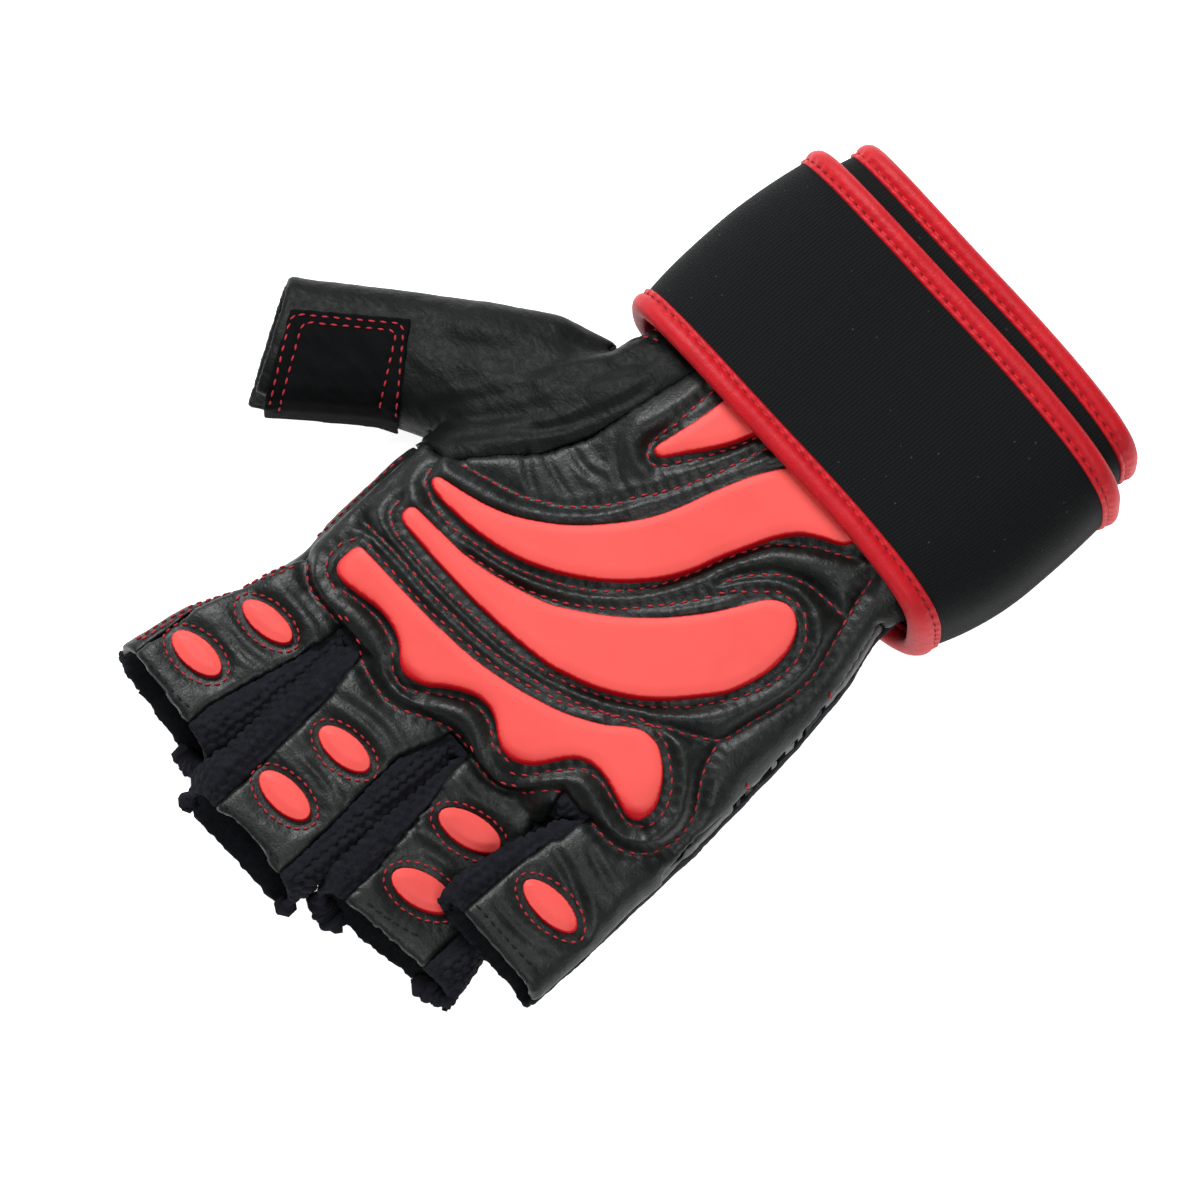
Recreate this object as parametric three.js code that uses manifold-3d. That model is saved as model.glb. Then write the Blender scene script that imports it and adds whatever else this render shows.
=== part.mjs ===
// Fingerless weightlifting glove for the right hand, lying on its back with the palm up.
// Millimetres. +Y points to the arm, -X to the thumb, +Z up out of the palm.
import * as THREE from "three";
import { mergeVertices } from "three/addons/utils/BufferGeometryUtils.js";
import Module from "manifold-3d";

const wasm = await Module();
wasm.setup();

// Driving sizes of the hand part
const palmWidth = 100;
const palmLength = 100;
const palmDepth = 25;
const leatherWall = 1.4;
const seamGap = 0.3;
const seamCover = 2;
const tubeRunOut = 6;

// Driving sizes of the fingers and the thumb
const indexLength = 42;
const middleLength = 51;
const ringLength = 42;
const littleLength = 37;
const fingerDepth = 18;
const backOverhang = 2.6;
const thumbLength = 62;
const thumbWidth = 31;
const thumbDepth = 18;
const thumbSkew = 2.4;
const patchInset = 2.3;

// Driving sizes of the padding
const insertHeight = 3.4;
const padHeight = 2.4;
const ovalHeight = 1.5;
const ovalLength = 14.4;
const ovalWidth = 7;
const patchHeight = 1.1;
const patchLength = 27.4;
const patchReach = 5.8;
const flexBandLength = 6;

// Driving sizes of the strap
const strapWidth = 52.4;
const strapThickness = 2.4;
const strapPitch = 4;
const strapLead = 9.5;
const strapTurns = 2.14;
const strapPower = 0.62;
const strapHalfWidth = 0.458 * palmWidth;
const strapHalfHeight = 0.488 * palmDepth;
const strapCentreX = 0.11 * palmWidth;
const strapFrontY = 0.425 * palmLength;
const bindingWall = 0.9;
const bindingWidth = 4;
const bindingLip = 1.3;
const bindingPuff = 0.6;
const tabThickness = 0.9;
const tabTurns = 0.12;
const tabHoldBack = 0.02;

// Fineness of the facets
const ringPoints = 18;
const strapStationsPerTurn = 22;
const edgeSteps = 2;
const capSteps = 5;
const ovalSides = 10;
const knuckleSides = 36;
const facetAllowance = 0.65;
const headingStep = 0.2 / strapStationsPerTurn;
const sharpestCorner = 0.5;
const farAway = 3 * palmLength;

// How far each tube's section is squared, and how flat its palm side is
const tubePower = 0.62;
const thumbPower = 0.66;
const palmFlatness = 1.15;
const fingerFlatness = 1.12;
const cuffSlope = 0.7;

// How high on the glove the sewn-on layers begin, as shares of the palm's, a finger's and
// the thumb's depth
const layerFloor = 0.5 * palmDepth;
const ovalFloor = 0.5 * fingerDepth;
const patchFloor = 0.3 * thumbDepth;

// The turn of the strap that lies at strapFrontY, and the one before which the pads end
const middleTurn = 1.5;
const padEndTurn = 0.7;

// Where the strap's centre line lies, so that its lowest turn touches the floor
const bindingHalf = strapThickness / 2 + seamGap + bindingWall;
const strapCentreZ = strapHalfHeight + strapTurns * strapPitch + bindingHalf;
const cuffClearance = bindingHalf + facetAllowance;

const lerp = THREE.MathUtils.lerp;

// Squares a circle's sine or cosine out towards a box, for a soft tube's section
const squared = (value, power) => Math.sign(value) * Math.abs(value) ** power;

// Solids

function toSolid(geometry) {
  const plain = geometry.clone();
  plain.deleteAttribute("normal");
  plain.deleteAttribute("uv");
  const merged = mergeVertices(plain, 1e-4);
  const mesh = new wasm.Mesh({
    numProp: 3,
    vertProperties: new Float32Array(merged.attributes.position.array),
    triVerts: new Uint32Array(merged.index.array),
  });
  return new wasm.Manifold(mesh);
}

function toGeometry(solid) {
  const mesh = solid.getMesh();
  const geometry = new THREE.BufferGeometry();
  geometry.setAttribute("position", new THREE.BufferAttribute(new Float32Array(mesh.vertProperties), 3));
  geometry.setIndex(new THREE.BufferAttribute(new Uint32Array(mesh.triVerts), 1));
  geometry.computeVertexNormals();
  return geometry;
}

const join = (solids) => solids.reduce((sum, solid) => sum.add(solid));
const largest = (solid) => solid.decompose().reduce((a, b) => (a.volume() > b.volume() ? a : b));

// A closed skin through rings of points that all have the same count. The caps are
// triangulated on capShape, or else on the ring as seen along Y
function loft(rings, capShape) {
  const count = rings[0].length;
  const points = rings.flat();
  const faces = [];
  for (let row = 0; row + 1 < rings.length; row += 1) {
    for (let i = 0; i < count; i += 1) {
      const a = row * count + i;
      const b = row * count + ((i + 1) % count);
      faces.push(a, b, a + count, b, b + count, a + count);
    }
  }
  const last = (rings.length - 1) * count;
  const flat = (ring) => capShape ?? ring.map((point) => new THREE.Vector2(point.x, point.z));
  const turned = THREE.ShapeUtils.isClockWise(flat(rings[0])) ? 1 : 0;
  const capFaces = (ring) => THREE.ShapeUtils.triangulateShape(flat(ring), []);
  for (const [a, b, c] of capFaces(rings[0])) faces.push(a, turned ? b : c, turned ? c : b);
  for (const [a, b, c] of capFaces(rings.at(-1))) {
    faces.push(last + a, last + (turned ? c : b), last + (turned ? b : c));
  }
  const geometry = new THREE.BufferGeometry().setFromPoints(points);
  geometry.setIndex(faces);
  const solid = toSolid(geometry);
  if (solid.volume() > 0) return solid;
  for (let i = 0; i < faces.length; i += 3) [faces[i], faces[i + 1]] = [faces[i + 1], faces[i]];
  geometry.setIndex(faces);
  return toSolid(geometry);
}

// An upright prism over an outline in the XY plane
function prism(outline, low = -farAway, high = farAway) {
  const shape = new THREE.Shape(outline);
  const geometry = new THREE.ExtrudeGeometry(shape, { depth: high - low, bevelEnabled: false });
  geometry.translate(0, 0, low);
  return toSolid(geometry);
}

// Moves each side of an outline outwards by a distance
function widened(outline, distance) {
  const ring = THREE.ShapeUtils.isClockWise(outline) ? [...outline].reverse() : outline;
  return ring.map((point, i) => {
    const before = ring[(i + ring.length - 1) % ring.length];
    const after = ring[(i + 1) % ring.length];
    const sideIn = point.clone().sub(before).normalize();
    const sideOut = after.clone().sub(point).normalize();
    const normal = new THREE.Vector2(sideIn.y + sideOut.y, -sideIn.x - sideOut.x).normalize();
    const reach = Math.max(sharpestCorner, normal.x * sideIn.y - normal.y * sideIn.x);
    return point.clone().addScaledVector(normal, distance / reach);
  });
}

// The palm and cuff tube. Each row is a section across the hand:
// y and the two sides as shares of the palm's length and width, heights as shares of its depth
const palmRows = [
  { y: -0.51, left: -0.45, right: 0.54, bottom: 0.04, top: 0.6, shoulder: 0.19 },
  { y: -0.47, left: -0.475, right: 0.575, bottom: 0, top: 0.84, shoulder: 0.17 },
  { y: -0.35, left: -0.495, right: 0.6, bottom: 0, top: 0.96, shoulder: 0.07 },
  { y: -0.15, left: -0.5, right: 0.59, bottom: 0, top: 1.04, shoulder: 0 },
  { y: 0.08, left: -0.48, right: 0.57, bottom: 0, top: 1.14, shoulder: 0 },
  { y: 0.24, left: -0.42, right: 0.55, bottom: 0.2, top: 1.28, shoulder: 0 },
];

// Rows of the cuff, whose section follows the inside of the strap. Left and right are how far
// its sides are tucked in there, in millimetres
const cuffRows = [
  { y: 0.34, left: -3, right: 1.5 },
  { y: 0.46, left: 0, right: 0 },
  { y: 0.66, left: 0, right: 0 },
  { y: 0.9, left: 0, right: 0 },
];

function tubeRing(section, grow, raise) {
  const ring = [];
  for (let i = 0; i < ringPoints; i += 1) {
    const angle = ((i + 0.5) / ringPoints) * Math.PI * 2;
    const across = squared(Math.cos(angle), section.power);
    const upright = Math.max(-1, section.flat * squared(Math.sin(angle), section.power));
    const side = (across + 1) / 2;
    const bottom = lerp(section.bottomLeft, section.bottomRight, side) - grow;
    const top = lerp(section.topLeft, section.topRight, side) + grow;
    const ceiling = raise === undefined ? top : (bottom + top) / 2 + raise;
    const x = lerp(section.left - grow, section.right + grow, side);
    const z = Math.min(ceiling, lerp(bottom, top, (upright + 1) / 2));
    const shoulder = section.shoulder * Math.max(0, across) ** 2;
    const y = section.y + section.lag * (upright - 1) / 2 + section.skew * across + shoulder;
    ring.push(new THREE.Vector3(x, y, z));
  }
  return ring;
}

const level = (bottom, top) => ({ bottomLeft: bottom, bottomRight: bottom, topLeft: top, topRight: top });
const evenTube = { power: tubePower, flat: palmFlatness, lag: 0, skew: 0, shoulder: 0 };

function palmSections() {
  const sections = palmRows.map((row) => ({
    ...evenTube,
    ...level(row.bottom * palmDepth, row.top * palmDepth),
    y: row.y * palmLength,
    left: row.left * palmWidth,
    right: row.right * palmWidth,
    shoulder: row.shoulder * palmLength,
  }));
  const cuffTop = strapCentreZ + strapHalfHeight + strapPitch / 2 - cuffClearance;
  const cuffBottom = strapCentreZ - strapHalfHeight + cuffClearance;
  cuffRows.forEach((row, i) => {
    sections.push({
      ...evenTube,
      flat: 1,
      ...level(i === 0 ? cuffBottom * cuffSlope : cuffBottom, cuffTop),
      y: row.y * palmLength,
      left: strapCentreX - strapHalfWidth + cuffClearance + row.left,
      right: strapCentreX + strapHalfWidth - cuffClearance - row.right,
    });
  });
  return sections;
}

// The hollow runs past the open end of a tube, which is its first or last section
function tube(sections, grow, openAtStart, openAtEnd, raise) {
  const rows = sections.map((section) => ({ ...section }));
  if (grow < 0) {
    if (openAtStart) rows[0].y += Math.sign(rows[0].y - rows[1].y) * tubeRunOut;
    if (openAtEnd) rows.at(-1).y += Math.sign(rows.at(-1).y - rows.at(-2).y) * tubeRunOut;
  }
  if (!openAtStart) rows[0].y += Math.sign(rows[0].y - rows[1].y) * grow;
  return loft(rows.map((row) => tubeRing(row, grow, raise)));
}

// The fingers. Sides are shares of the palm's width, heights shares of the finger's depth,
// and each row's place is a share of the finger's length from its root
const fingers = {
  index: {
    root: -0.455,
    length: indexLength,
    skew: -2,
    rows: [
      { along: -0.4, left: -0.465, right: -0.26, bottoms: [0, 0], tops: [0.9, 1.0] },
      { along: 0.25, left: -0.5, right: -0.262, bottoms: [0, 0], tops: [0.96, 1.02] },
      { along: 0.6, left: -0.568, right: -0.263, bottoms: [0, 0], tops: [0.9, 0.96] },
      { along: 1, left: -0.594, right: -0.264, bottoms: [0, 0], tops: [0.86, 0.92] },
    ],
  },
  middle: {
    root: -0.455,
    length: middleLength,
    skew: 0,
    rows: [
      { along: -0.35, left: -0.25, right: 0.075, bottoms: [0, 0], tops: [1.05, 1.05] },
      { along: 0.3, left: -0.252, right: 0.078, bottoms: [0, 0], tops: [1.04, 1.04] },
      { along: 0.65, left: -0.252, right: 0.082, bottoms: [0, 0], tops: [0.98, 0.96] },
      { along: 1, left: -0.25, right: 0.09, bottoms: [0, 0], tops: [0.9, 0.88] },
    ],
  },
  ring: {
    root: -0.455,
    length: ringLength,
    skew: 3.5,
    rows: [
      { along: -0.4, left: 0.09, right: 0.35, bottoms: [0, 0], tops: [1.05, 0.95] },
      { along: 0.1, left: 0.092, right: 0.36, bottoms: [0, 0], tops: [1.03, 0.72] },
      { along: 0.5, left: 0.095, right: 0.43, bottoms: [0, 0], tops: [1.0, 0.42] },
      { along: 1, left: 0.105, right: 0.48, bottoms: [0, 0], tops: [0.92, 0.36] },
    ],
  },
  little: {
    root: -0.365,
    length: littleLength,
    skew: 0,
    rows: [
      { along: -0.4, left: 0.38, right: 0.585, bottoms: [0.1, 0], tops: [1.1, 1.05] },
      { along: 0.22, left: 0.37, right: 0.6, bottoms: [0.62, 0.1], tops: [1.16, 1.05] },
      { along: 0.55, left: 0.335, right: 0.61, bottoms: [0.7, 0.2], tops: [1.2, 1.02] },
      { along: 1, left: 0.31, right: 0.615, bottoms: [0.72, 0.24], tops: [1.22, 0.98] },
    ],
  },
};

function fingerSections(finger) {
  return finger.rows.map((row) => ({
    power: tubePower,
    flat: fingerFlatness,
    y: finger.root * palmLength - row.along * finger.length,
    lag: row.along === 1 ? backOverhang : 0,
    shoulder: 0,
    skew: row.along === 1 ? finger.skew : 0,
    left: row.left * palmWidth,
    right: row.right * palmWidth,
    bottomLeft: row.bottoms[0] * fingerDepth,
    bottomRight: row.bottoms[1] * fingerDepth,
    topLeft: row.tops[0] * fingerDepth,
    topRight: row.tops[1] * fingerDepth,
  }));
}

// The thumb leaves the palm along a slanted axis and ends in an open cuff. Each row's place is
// a share of the thumb's length, its sides shares of its width and its heights shares of its depth
const thumbRoot = new THREE.Vector2(-0.421 * palmWidth, 0.248 * palmLength);
const thumbDirection = new THREE.Vector2(-0.755, -0.656).normalize();
const thumbRows = [
  { along: -0.3, upper: 0.1, lower: 0.7, bottom: 0.55, top: 1.3 },
  { along: 0, upper: 0.37, lower: 0.84, bottom: 0.3, top: 1.42 },
  { along: 0.25, upper: 0.43, lower: 0.72, bottom: 0.08, top: 1.3 },
  { along: 0.42, upper: 0.46, lower: 0.54, bottom: 0, top: 1.14 },
  { along: 0.6, upper: 0.48, lower: 0.455, bottom: 0, top: 1.04 },
  { along: 0.8, upper: 0.49, lower: 0.465, bottom: 0, top: 0.98 },
  { along: 1, upper: 0.5, lower: 0.49, bottom: 0, top: 0.92 },
];
const thumbAcross = new THREE.Vector2(thumbDirection.y, -thumbDirection.x);
const thumbPlace = (along, across) =>
  thumbRoot.clone().addScaledVector(thumbDirection, along).addScaledVector(thumbAcross, across);

function thumbTube(grow) {
  const rings = thumbRows.map((row, i) => {
    const isEnd = i === thumbRows.length - 1;
    const run = grow < 0 && isEnd ? tubeRunOut : 0;
    const inset = i === 0 ? grow : 0;
    const along = row.along * thumbLength + run - inset;
    const low = row.bottom * thumbDepth - grow;
    const high = row.top * thumbDepth + grow;
    const ring = [];
    for (let k = 0; k < ringPoints; k += 1) {
      const angle = ((k + 0.5) / ringPoints) * Math.PI * 2;
      const side = squared(Math.cos(angle), thumbPower);
      const upright = Math.max(-1, fingerFlatness * squared(Math.sin(angle), thumbPower));
      const across = lerp(-row.lower * thumbWidth - grow, row.upper * thumbWidth + grow, (side + 1) / 2);
      const lag = isEnd ? backOverhang * (1 - upright) / 2 : 0;
      const place = thumbPlace(along + lag - (isEnd ? thumbSkew * side : 0), across);
      ring.push(new THREE.Vector3(place.x, place.y, lerp(low, high, (upright + 1) / 2)));
    }
    return ring;
  });
  return loft(rings);
}

// The whole glove grown or shrunk by a distance
function gloveForm(grow) {
  const forms = [tube(palmSections(), grow, false, true), thumbTube(grow)];
  for (const finger of Object.values(fingers)) {
    forms.push(tube(fingerSections(finger), grow, false, true));
  }
  return join(forms);
}

// Outlines in the XY plane, as shares of the palm's width and length
const outline = (rows) => rows.map(([x, y]) => new THREE.Vector2(x * palmWidth, y * palmLength));

// The seam of the thumb leather across the palm, from the wrist to the web of the thumb
const thenarSeam = [
  [-0.155, 0.6], [-0.165, 0.42], [-0.19, 0.27], [-0.215, 0.17], [-0.265, 0.06], [-0.335, -0.02], [-0.4, -0.1],
  [-0.5, -0.085],
];
const thumbRegion = outline([...thenarSeam, [-1.4, -0.6], [-1.4, 0.6]]);

const indexStripRegion = outline([
  [-0.9, -0.09], [-0.46, -0.105], [-0.455, -0.3], [-0.455, -0.45], [-0.49, -0.56], [-0.535, -0.7],
  [-0.565, -1.1], [-0.9, -1.1],
]);
const sidePanelRegion = outline([
  [0.9, 0.36], [0.5, 0.36], [0.54, 0.22], [0.56, 0.08], [0.575, -0.05], [0.585, -0.36], [0.9, -0.36],
]);
const flexBandPlaces = { flex_band_wrist: 0.12, flex_band_finger: -0.1 };

const gussetRegions = {
  gusset_index_middle: [
    [-0.225, -0.485], [-0.285, -0.485], [-0.3, -0.62], [-0.32, -0.7], [-0.345, -0.82], [-0.355, -1.2],
    [-0.165, -1.2], [-0.175, -0.8], [-0.185, -0.62], [-0.2, -0.54],
  ],
  gusset_middle_ring: [
    [0.115, -0.485], [0.05, -0.485], [0.02, -0.6], [0.025, -0.7], [0.035, -0.82], [0.04, -1.2],
    [0.185, -1.2], [0.165, -0.8], [0.135, -0.62], [0.12, -0.53],
  ],
};
const ringLittleOnRing = [
  [0.3, -0.47], [0.33, -0.5], [0.36, -0.6], [0.38, -0.7], [0.4, -1.2], [0.6, -1.2], [0.6, -0.47],
];
const ringLittleOnLittle = [
  [0.36, -0.39], [0.2, -0.39], [0.2, -1.2], [0.375, -1.2], [0.375, -0.6], [0.39, -0.43],
];
const ringLittleCrotch = [[0.325, -0.39], [0.325, -0.48], [0.4, -0.48], [0.4, -0.39]];
const crotchBottom = 0.36 * palmDepth;

// The rubber inserts. Each row is a point on the insert's centre line with the half width there,
// and pad is how far the padded leather frame reaches beyond it
const insertRibbons = {
  thenar: [
    { x: -0.1, y: 0.258, half: 0.013, pad: 0.03 },
    { x: -0.072, y: 0.3, half: 0.025, pad: 0.035 },
    { x: -0.045, y: 0.35, half: 0.037, pad: 0.035 },
    { x: -0.025, y: 0.43, half: 0.05, pad: 0.03 },
    { x: -0.01, y: 0.5, half: 0.055, pad: 0.03 },
  ],
  heel: [
    { x: -0.345, y: -0.15, half: 0.02, pad: 0.016 },
    { x: -0.25, y: -0.137, half: 0.031, pad: 0.016 },
    { x: -0.13, y: -0.092, half: 0.049, pad: 0.018 },
    { x: -0.01, y: 0, half: 0.066, pad: 0.024 },
    { x: 0.065, y: 0.112, half: 0.076, pad: 0.036 },
    { x: 0.118, y: 0.24, half: 0.071, pad: 0.034 },
    { x: 0.175, y: 0.35, half: 0.078, pad: 0.034 },
    { x: 0.25, y: 0.43, half: 0.105, pad: 0.03 },
    { x: 0.3, y: 0.5, half: 0.12, pad: 0.03 },
  ],
  palm: [
    { x: -0.34, y: -0.238, half: 0.021, pad: 0.016 },
    { x: -0.2, y: -0.234, half: 0.029, pad: 0.016 },
    { x: -0.1, y: -0.222, half: 0.04, pad: 0.017 },
    { x: 0.035, y: -0.192, half: 0.059, pad: 0.024 },
    { x: 0.155, y: -0.138, half: 0.083, pad: 0.036 },
    { x: 0.255, y: -0.06, half: 0.093, pad: 0.05 },
    { x: 0.32, y: 0.025, half: 0.092, pad: 0.052 },
    { x: 0.36, y: 0.14, half: 0.075, pad: 0.052 },
  ],
};

// The knuckle insert is a band between two wavy edges, with the frame's reach beyond them
const knuckleRows = [
  { x: -0.365, upper: -0.375, lower: -0.425, above: 0.024, below: 0.026 },
  { x: -0.32, upper: -0.36, lower: -0.438, above: 0.024, below: 0.03 },
  { x: -0.2, upper: -0.36, lower: -0.425, above: 0.026, below: 0.036 },
  { x: -0.14, upper: -0.358, lower: -0.45, above: 0.026, below: 0.036 },
  { x: -0.08, upper: -0.355, lower: -0.478, above: 0.026, below: 0.036 },
  { x: -0.01, upper: -0.348, lower: -0.436, above: 0.026, below: 0.034 },
  { x: 0.07, upper: -0.335, lower: -0.396, above: 0.026, below: 0.036 },
  { x: 0.125, upper: -0.318, lower: -0.412, above: 0.026, below: 0.034 },
  { x: 0.18, upper: -0.3, lower: -0.438, above: 0.026, below: 0.03 },
  { x: 0.24, upper: -0.27, lower: -0.41, above: 0.028, below: 0.026 },
  { x: 0.285, upper: -0.243, lower: -0.345, above: 0.028, below: 0.03 },
  { x: 0.335, upper: -0.205, lower: -0.318, above: 0.026, below: 0.034 },
  { x: 0.39, upper: -0.19, lower: -0.32, above: 0.026, below: 0.034 },
  { x: 0.45, upper: -0.22, lower: -0.338, above: 0.026, below: 0.034 },
  { x: 0.485, upper: -0.265, lower: -0.33, above: 0.026, below: 0.03 },
];

const knuckleEndPad = 0.025;

// The outline of a ribbon with round ends, where reachOf gives the half width at a row in millimetres
function ribbonOutline(rows, reachOf) {
  const centres = rows.map((row) => new THREE.Vector3(row.x * palmWidth, row.y * palmLength, 0));
  const curve = new THREE.CatmullRomCurve3(centres, false, "centripetal");
  const steps = (rows.length - 1) * edgeSteps;
  const right = [];
  const left = [];
  for (let i = 0; i <= steps; i += 1) {
    const place = curve.getPoint(i / steps);
    const way = curve.getTangent(i / steps);
    const row = Math.min(Math.floor(i / edgeSteps), rows.length - 2);
    const reach = lerp(reachOf(rows[row]), reachOf(rows[row + 1]), i / edgeSteps - row);
    right.push(new THREE.Vector2(place.x + way.y * reach, place.y - way.x * reach));
    left.unshift(new THREE.Vector2(place.x - way.y * reach, place.y + way.x * reach));
  }
  const roundEnd = (share, row, startTurn) => {
    const place = curve.getPoint(share);
    const way = curve.getTangent(share);
    const heading = Math.atan2(way.y, way.x) + startTurn;
    const points = [];
    for (let k = 1; k < capSteps; k += 1) {
      const angle = heading + (k * Math.PI) / capSteps;
      const reach = reachOf(row);
      points.push(new THREE.Vector2(place.x + Math.cos(angle) * reach, place.y + Math.sin(angle) * reach));
    }
    return points;
  };
  const farEnd = roundEnd(1, rows.at(-1), -Math.PI / 2);
  const nearEnd = roundEnd(0, rows[0], Math.PI / 2);
  return [...right, ...farEnd, ...left, ...nearEnd];
}

// The outline of the knuckle band, moved out by the given reaches above, below and at the ends
function knuckleOutline(aboveOf, belowOf, endReach) {
  const ends = [-endReach, ...knuckleRows.slice(2).map(() => 0), endReach];
  const point = (row, i, edge, reach) =>
    new THREE.Vector3(row.x * palmWidth + ends[i], edge * palmLength + reach, 0);
  const upper = knuckleRows.map((row, i) => point(row, i, row.upper, aboveOf(row)));
  const lower = knuckleRows.map((row, i) => point(row, i, row.lower, -belowOf(row)));
  const loop = [...lower, ...upper.reverse()];
  const curve = new THREE.CatmullRomCurve3(loop, true, "centripetal");
  return curve.getPoints(knuckleSides).slice(0, -1).map((p) => new THREE.Vector2(p.x, p.y));
}

function ellipse(centreX, centreY, tilt) {
  const curve = new THREE.EllipseCurve(centreX, centreY, ovalLength / 2, ovalWidth / 2, 0, Math.PI * 2, false,
    THREE.MathUtils.degToRad(tilt));
  return curve.getPoints(ovalSides).slice(0, -1);
}

// The strap, wound as a spiral that also creeps along the arm
function strapStation(turns) {
  const angle = -Math.PI / 2 - Math.PI * 2 * turns;
  const spread = strapPitch * turns;
  return new THREE.Vector2(
    strapCentreX + (strapHalfWidth + spread) * squared(Math.cos(angle), strapPower),
    strapCentreZ + (strapHalfHeight + spread) * squared(Math.sin(angle), strapPower),
  );
}

// Sweeps a profile of [distance out of the winding, distance behind the strap's front edge]
function wind(profile, startTurn, endTurn) {
  const stations = Math.round((endTurn - startTurn) * strapStationsPerTurn);
  const rings = [];
  for (let i = 0; i <= stations; i += 1) {
    const turns = lerp(startTurn, endTurn, i / stations);
    const place = strapStation(turns);
    const way = strapStation(turns + headingStep).sub(strapStation(turns - headingStep)).normalize();
    const front = strapFrontY + strapLead * (middleTurn - turns);
    rings.push(profile.map(([out, back]) =>
      new THREE.Vector3(place.x - way.y * out, front + back, place.y + way.x * out)));
  }
  return loft(rings, profile.map(([out, back]) => new THREE.Vector2(out, back)));
}

function strapBand() {
  const half = strapThickness / 2;
  return wind([[-half, 0], [-half, strapWidth], [half, strapWidth], [half, 0]], 0, strapTurns);
}

// A leather strip folded over an edge of the strap
function strapBinding(isRear) {
  const slot = strapThickness / 2 + seamGap;
  const puff = bindingHalf * bindingPuff;
  const half = [
    [slot, bindingWidth], [bindingHalf, bindingWidth], [bindingHalf, 0], [puff, -bindingLip],
  ];
  const mirrored = half.map(([out, back]) => [-out, back]).reverse();
  const slotEnd = [[-slot, -seamGap], [slot, -seamGap]];
  const profile = [...half, ...mirrored, ...slotEnd];
  const placed = profile.map(([out, back]) => [out, isRear ? strapWidth - back : back]);
  return wind(placed, 0, strapTurns);
}

function closureTab() {
  const outer = -strapThickness / 2 - seamGap;
  const inner = outer - tabThickness;
  const rear = strapWidth - bindingWidth - 2 * seamGap;
  const front = strapLead + bindingWidth + 2 * seamGap;
  const profile = [[inner, front], [inner, rear], [outer, rear], [outer, front]];
  return wind(profile, strapTurns - tabTurns, strapTurns - tabHoldBack);
}

// Pieces of leather and knit cut from one hollow form, with a seam gap between neighbours
const form = gloveForm(0);
const shell = form.subtract(gloveForm(-leatherWall));
const lowerForm = (raise) => {
  const forms = [tube(palmSections(), seamCover, false, true, raise)];
  for (const finger of Object.values(fingers)) {
    forms.push(tube(fingerSections(finger), seamCover, false, true, raise));
  }
  return join(forms);
};

const upperShell = shell.subtract(lowerForm(seamGap));
const thumbLeather = upperShell.intersect(prism(thumbRegion));
const palmSide = upperShell.subtract(prism(widened(thumbRegion, seamGap)));

const crotchBox = (gap) => prism(widened(outline(ringLittleCrotch), gap), crotchBottom - gap);

function gussetCutter(name, gap) {
  if (gussetRegions[name]) return prism(widened(outline(gussetRegions[name]), gap));
  const ringPart = tube(fingerSections(fingers.ring), seamCover / 2, false, true);
  const littlePart = tube(fingerSections(fingers.little), seamCover / 2, false, true);
  const onRing = ringPart.intersect(prism(widened(outline(ringLittleOnRing), gap)));
  const onLittle = littlePart.intersect(prism(widened(outline(ringLittleOnLittle), gap)));
  return onRing.subtract(littlePart).add(onLittle).add(crotchBox(gap));
}

const gussetNames = [...Object.keys(gussetRegions), "gusset_ring_little"];
const backPanel = shell.intersect(lowerForm(0)).subtract(crotchBox(seamGap));
const gussets = Object.fromEntries(gussetNames.map(
  (name) => [name, palmSide.intersect(gussetCutter(name, 0))]));
gussets.gusset_ring_little = gussets.gusset_ring_little
  .add(shell.intersect(crotchBox(0)))
  .subtract(backPanel);
const withoutGussets = gussetNames.reduce(
  (solid, name) => solid.subtract(gussetCutter(name, seamGap)), palmSide);

const indexStrip = withoutGussets.intersect(prism(indexStripRegion));
const sidePanelWhole = withoutGussets.intersect(prism(sidePanelRegion));
const palmPanel = withoutGussets
  .subtract(prism(widened(indexStripRegion, seamGap)))
  .subtract(prism(widened(sidePanelRegion, seamGap)));

// A short stretch of the side panel is elastic cloth
function bandBox(share, gap) {
  const half = flexBandLength / 2 + gap;
  const y = share * palmLength;
  return prism([
    new THREE.Vector2(0, y - half), new THREE.Vector2(palmWidth, y - half),
    new THREE.Vector2(palmWidth, y + half), new THREE.Vector2(0, y + half),
  ]);
}
const flexPlaces = Object.entries(flexBandPlaces);
const flexBands = Object.fromEntries(
  flexPlaces.map(([name, share]) => [name, sidePanelWhole.intersect(bandBox(share, 0))]));
const sidePanelPieces = flexPlaces
  .reduce((solid, [, share]) => solid.subtract(bandBox(share, seamGap)), sidePanelWhole)
  .decompose()
  .sort((a, b) => b.boundingBox().max[1] - a.boundingBox().max[1]);
const sidePanelNames = ["side_panel_wrist", "side_panel_middle", "side_panel_finger"];

// A layer that lies on the glove between two heights above its surface
const grownForms = new Map();
function grownForm(grow) {
  if (!grownForms.has(grow)) grownForms.set(grow, gloveForm(grow));
  return grownForms.get(grow);
}
function layer(shape, low, high) {
  return grownForm(high).subtract(grownForm(low)).intersect(prism(shape, layerFloor)).intersect(clearOfStrap);
}

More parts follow.
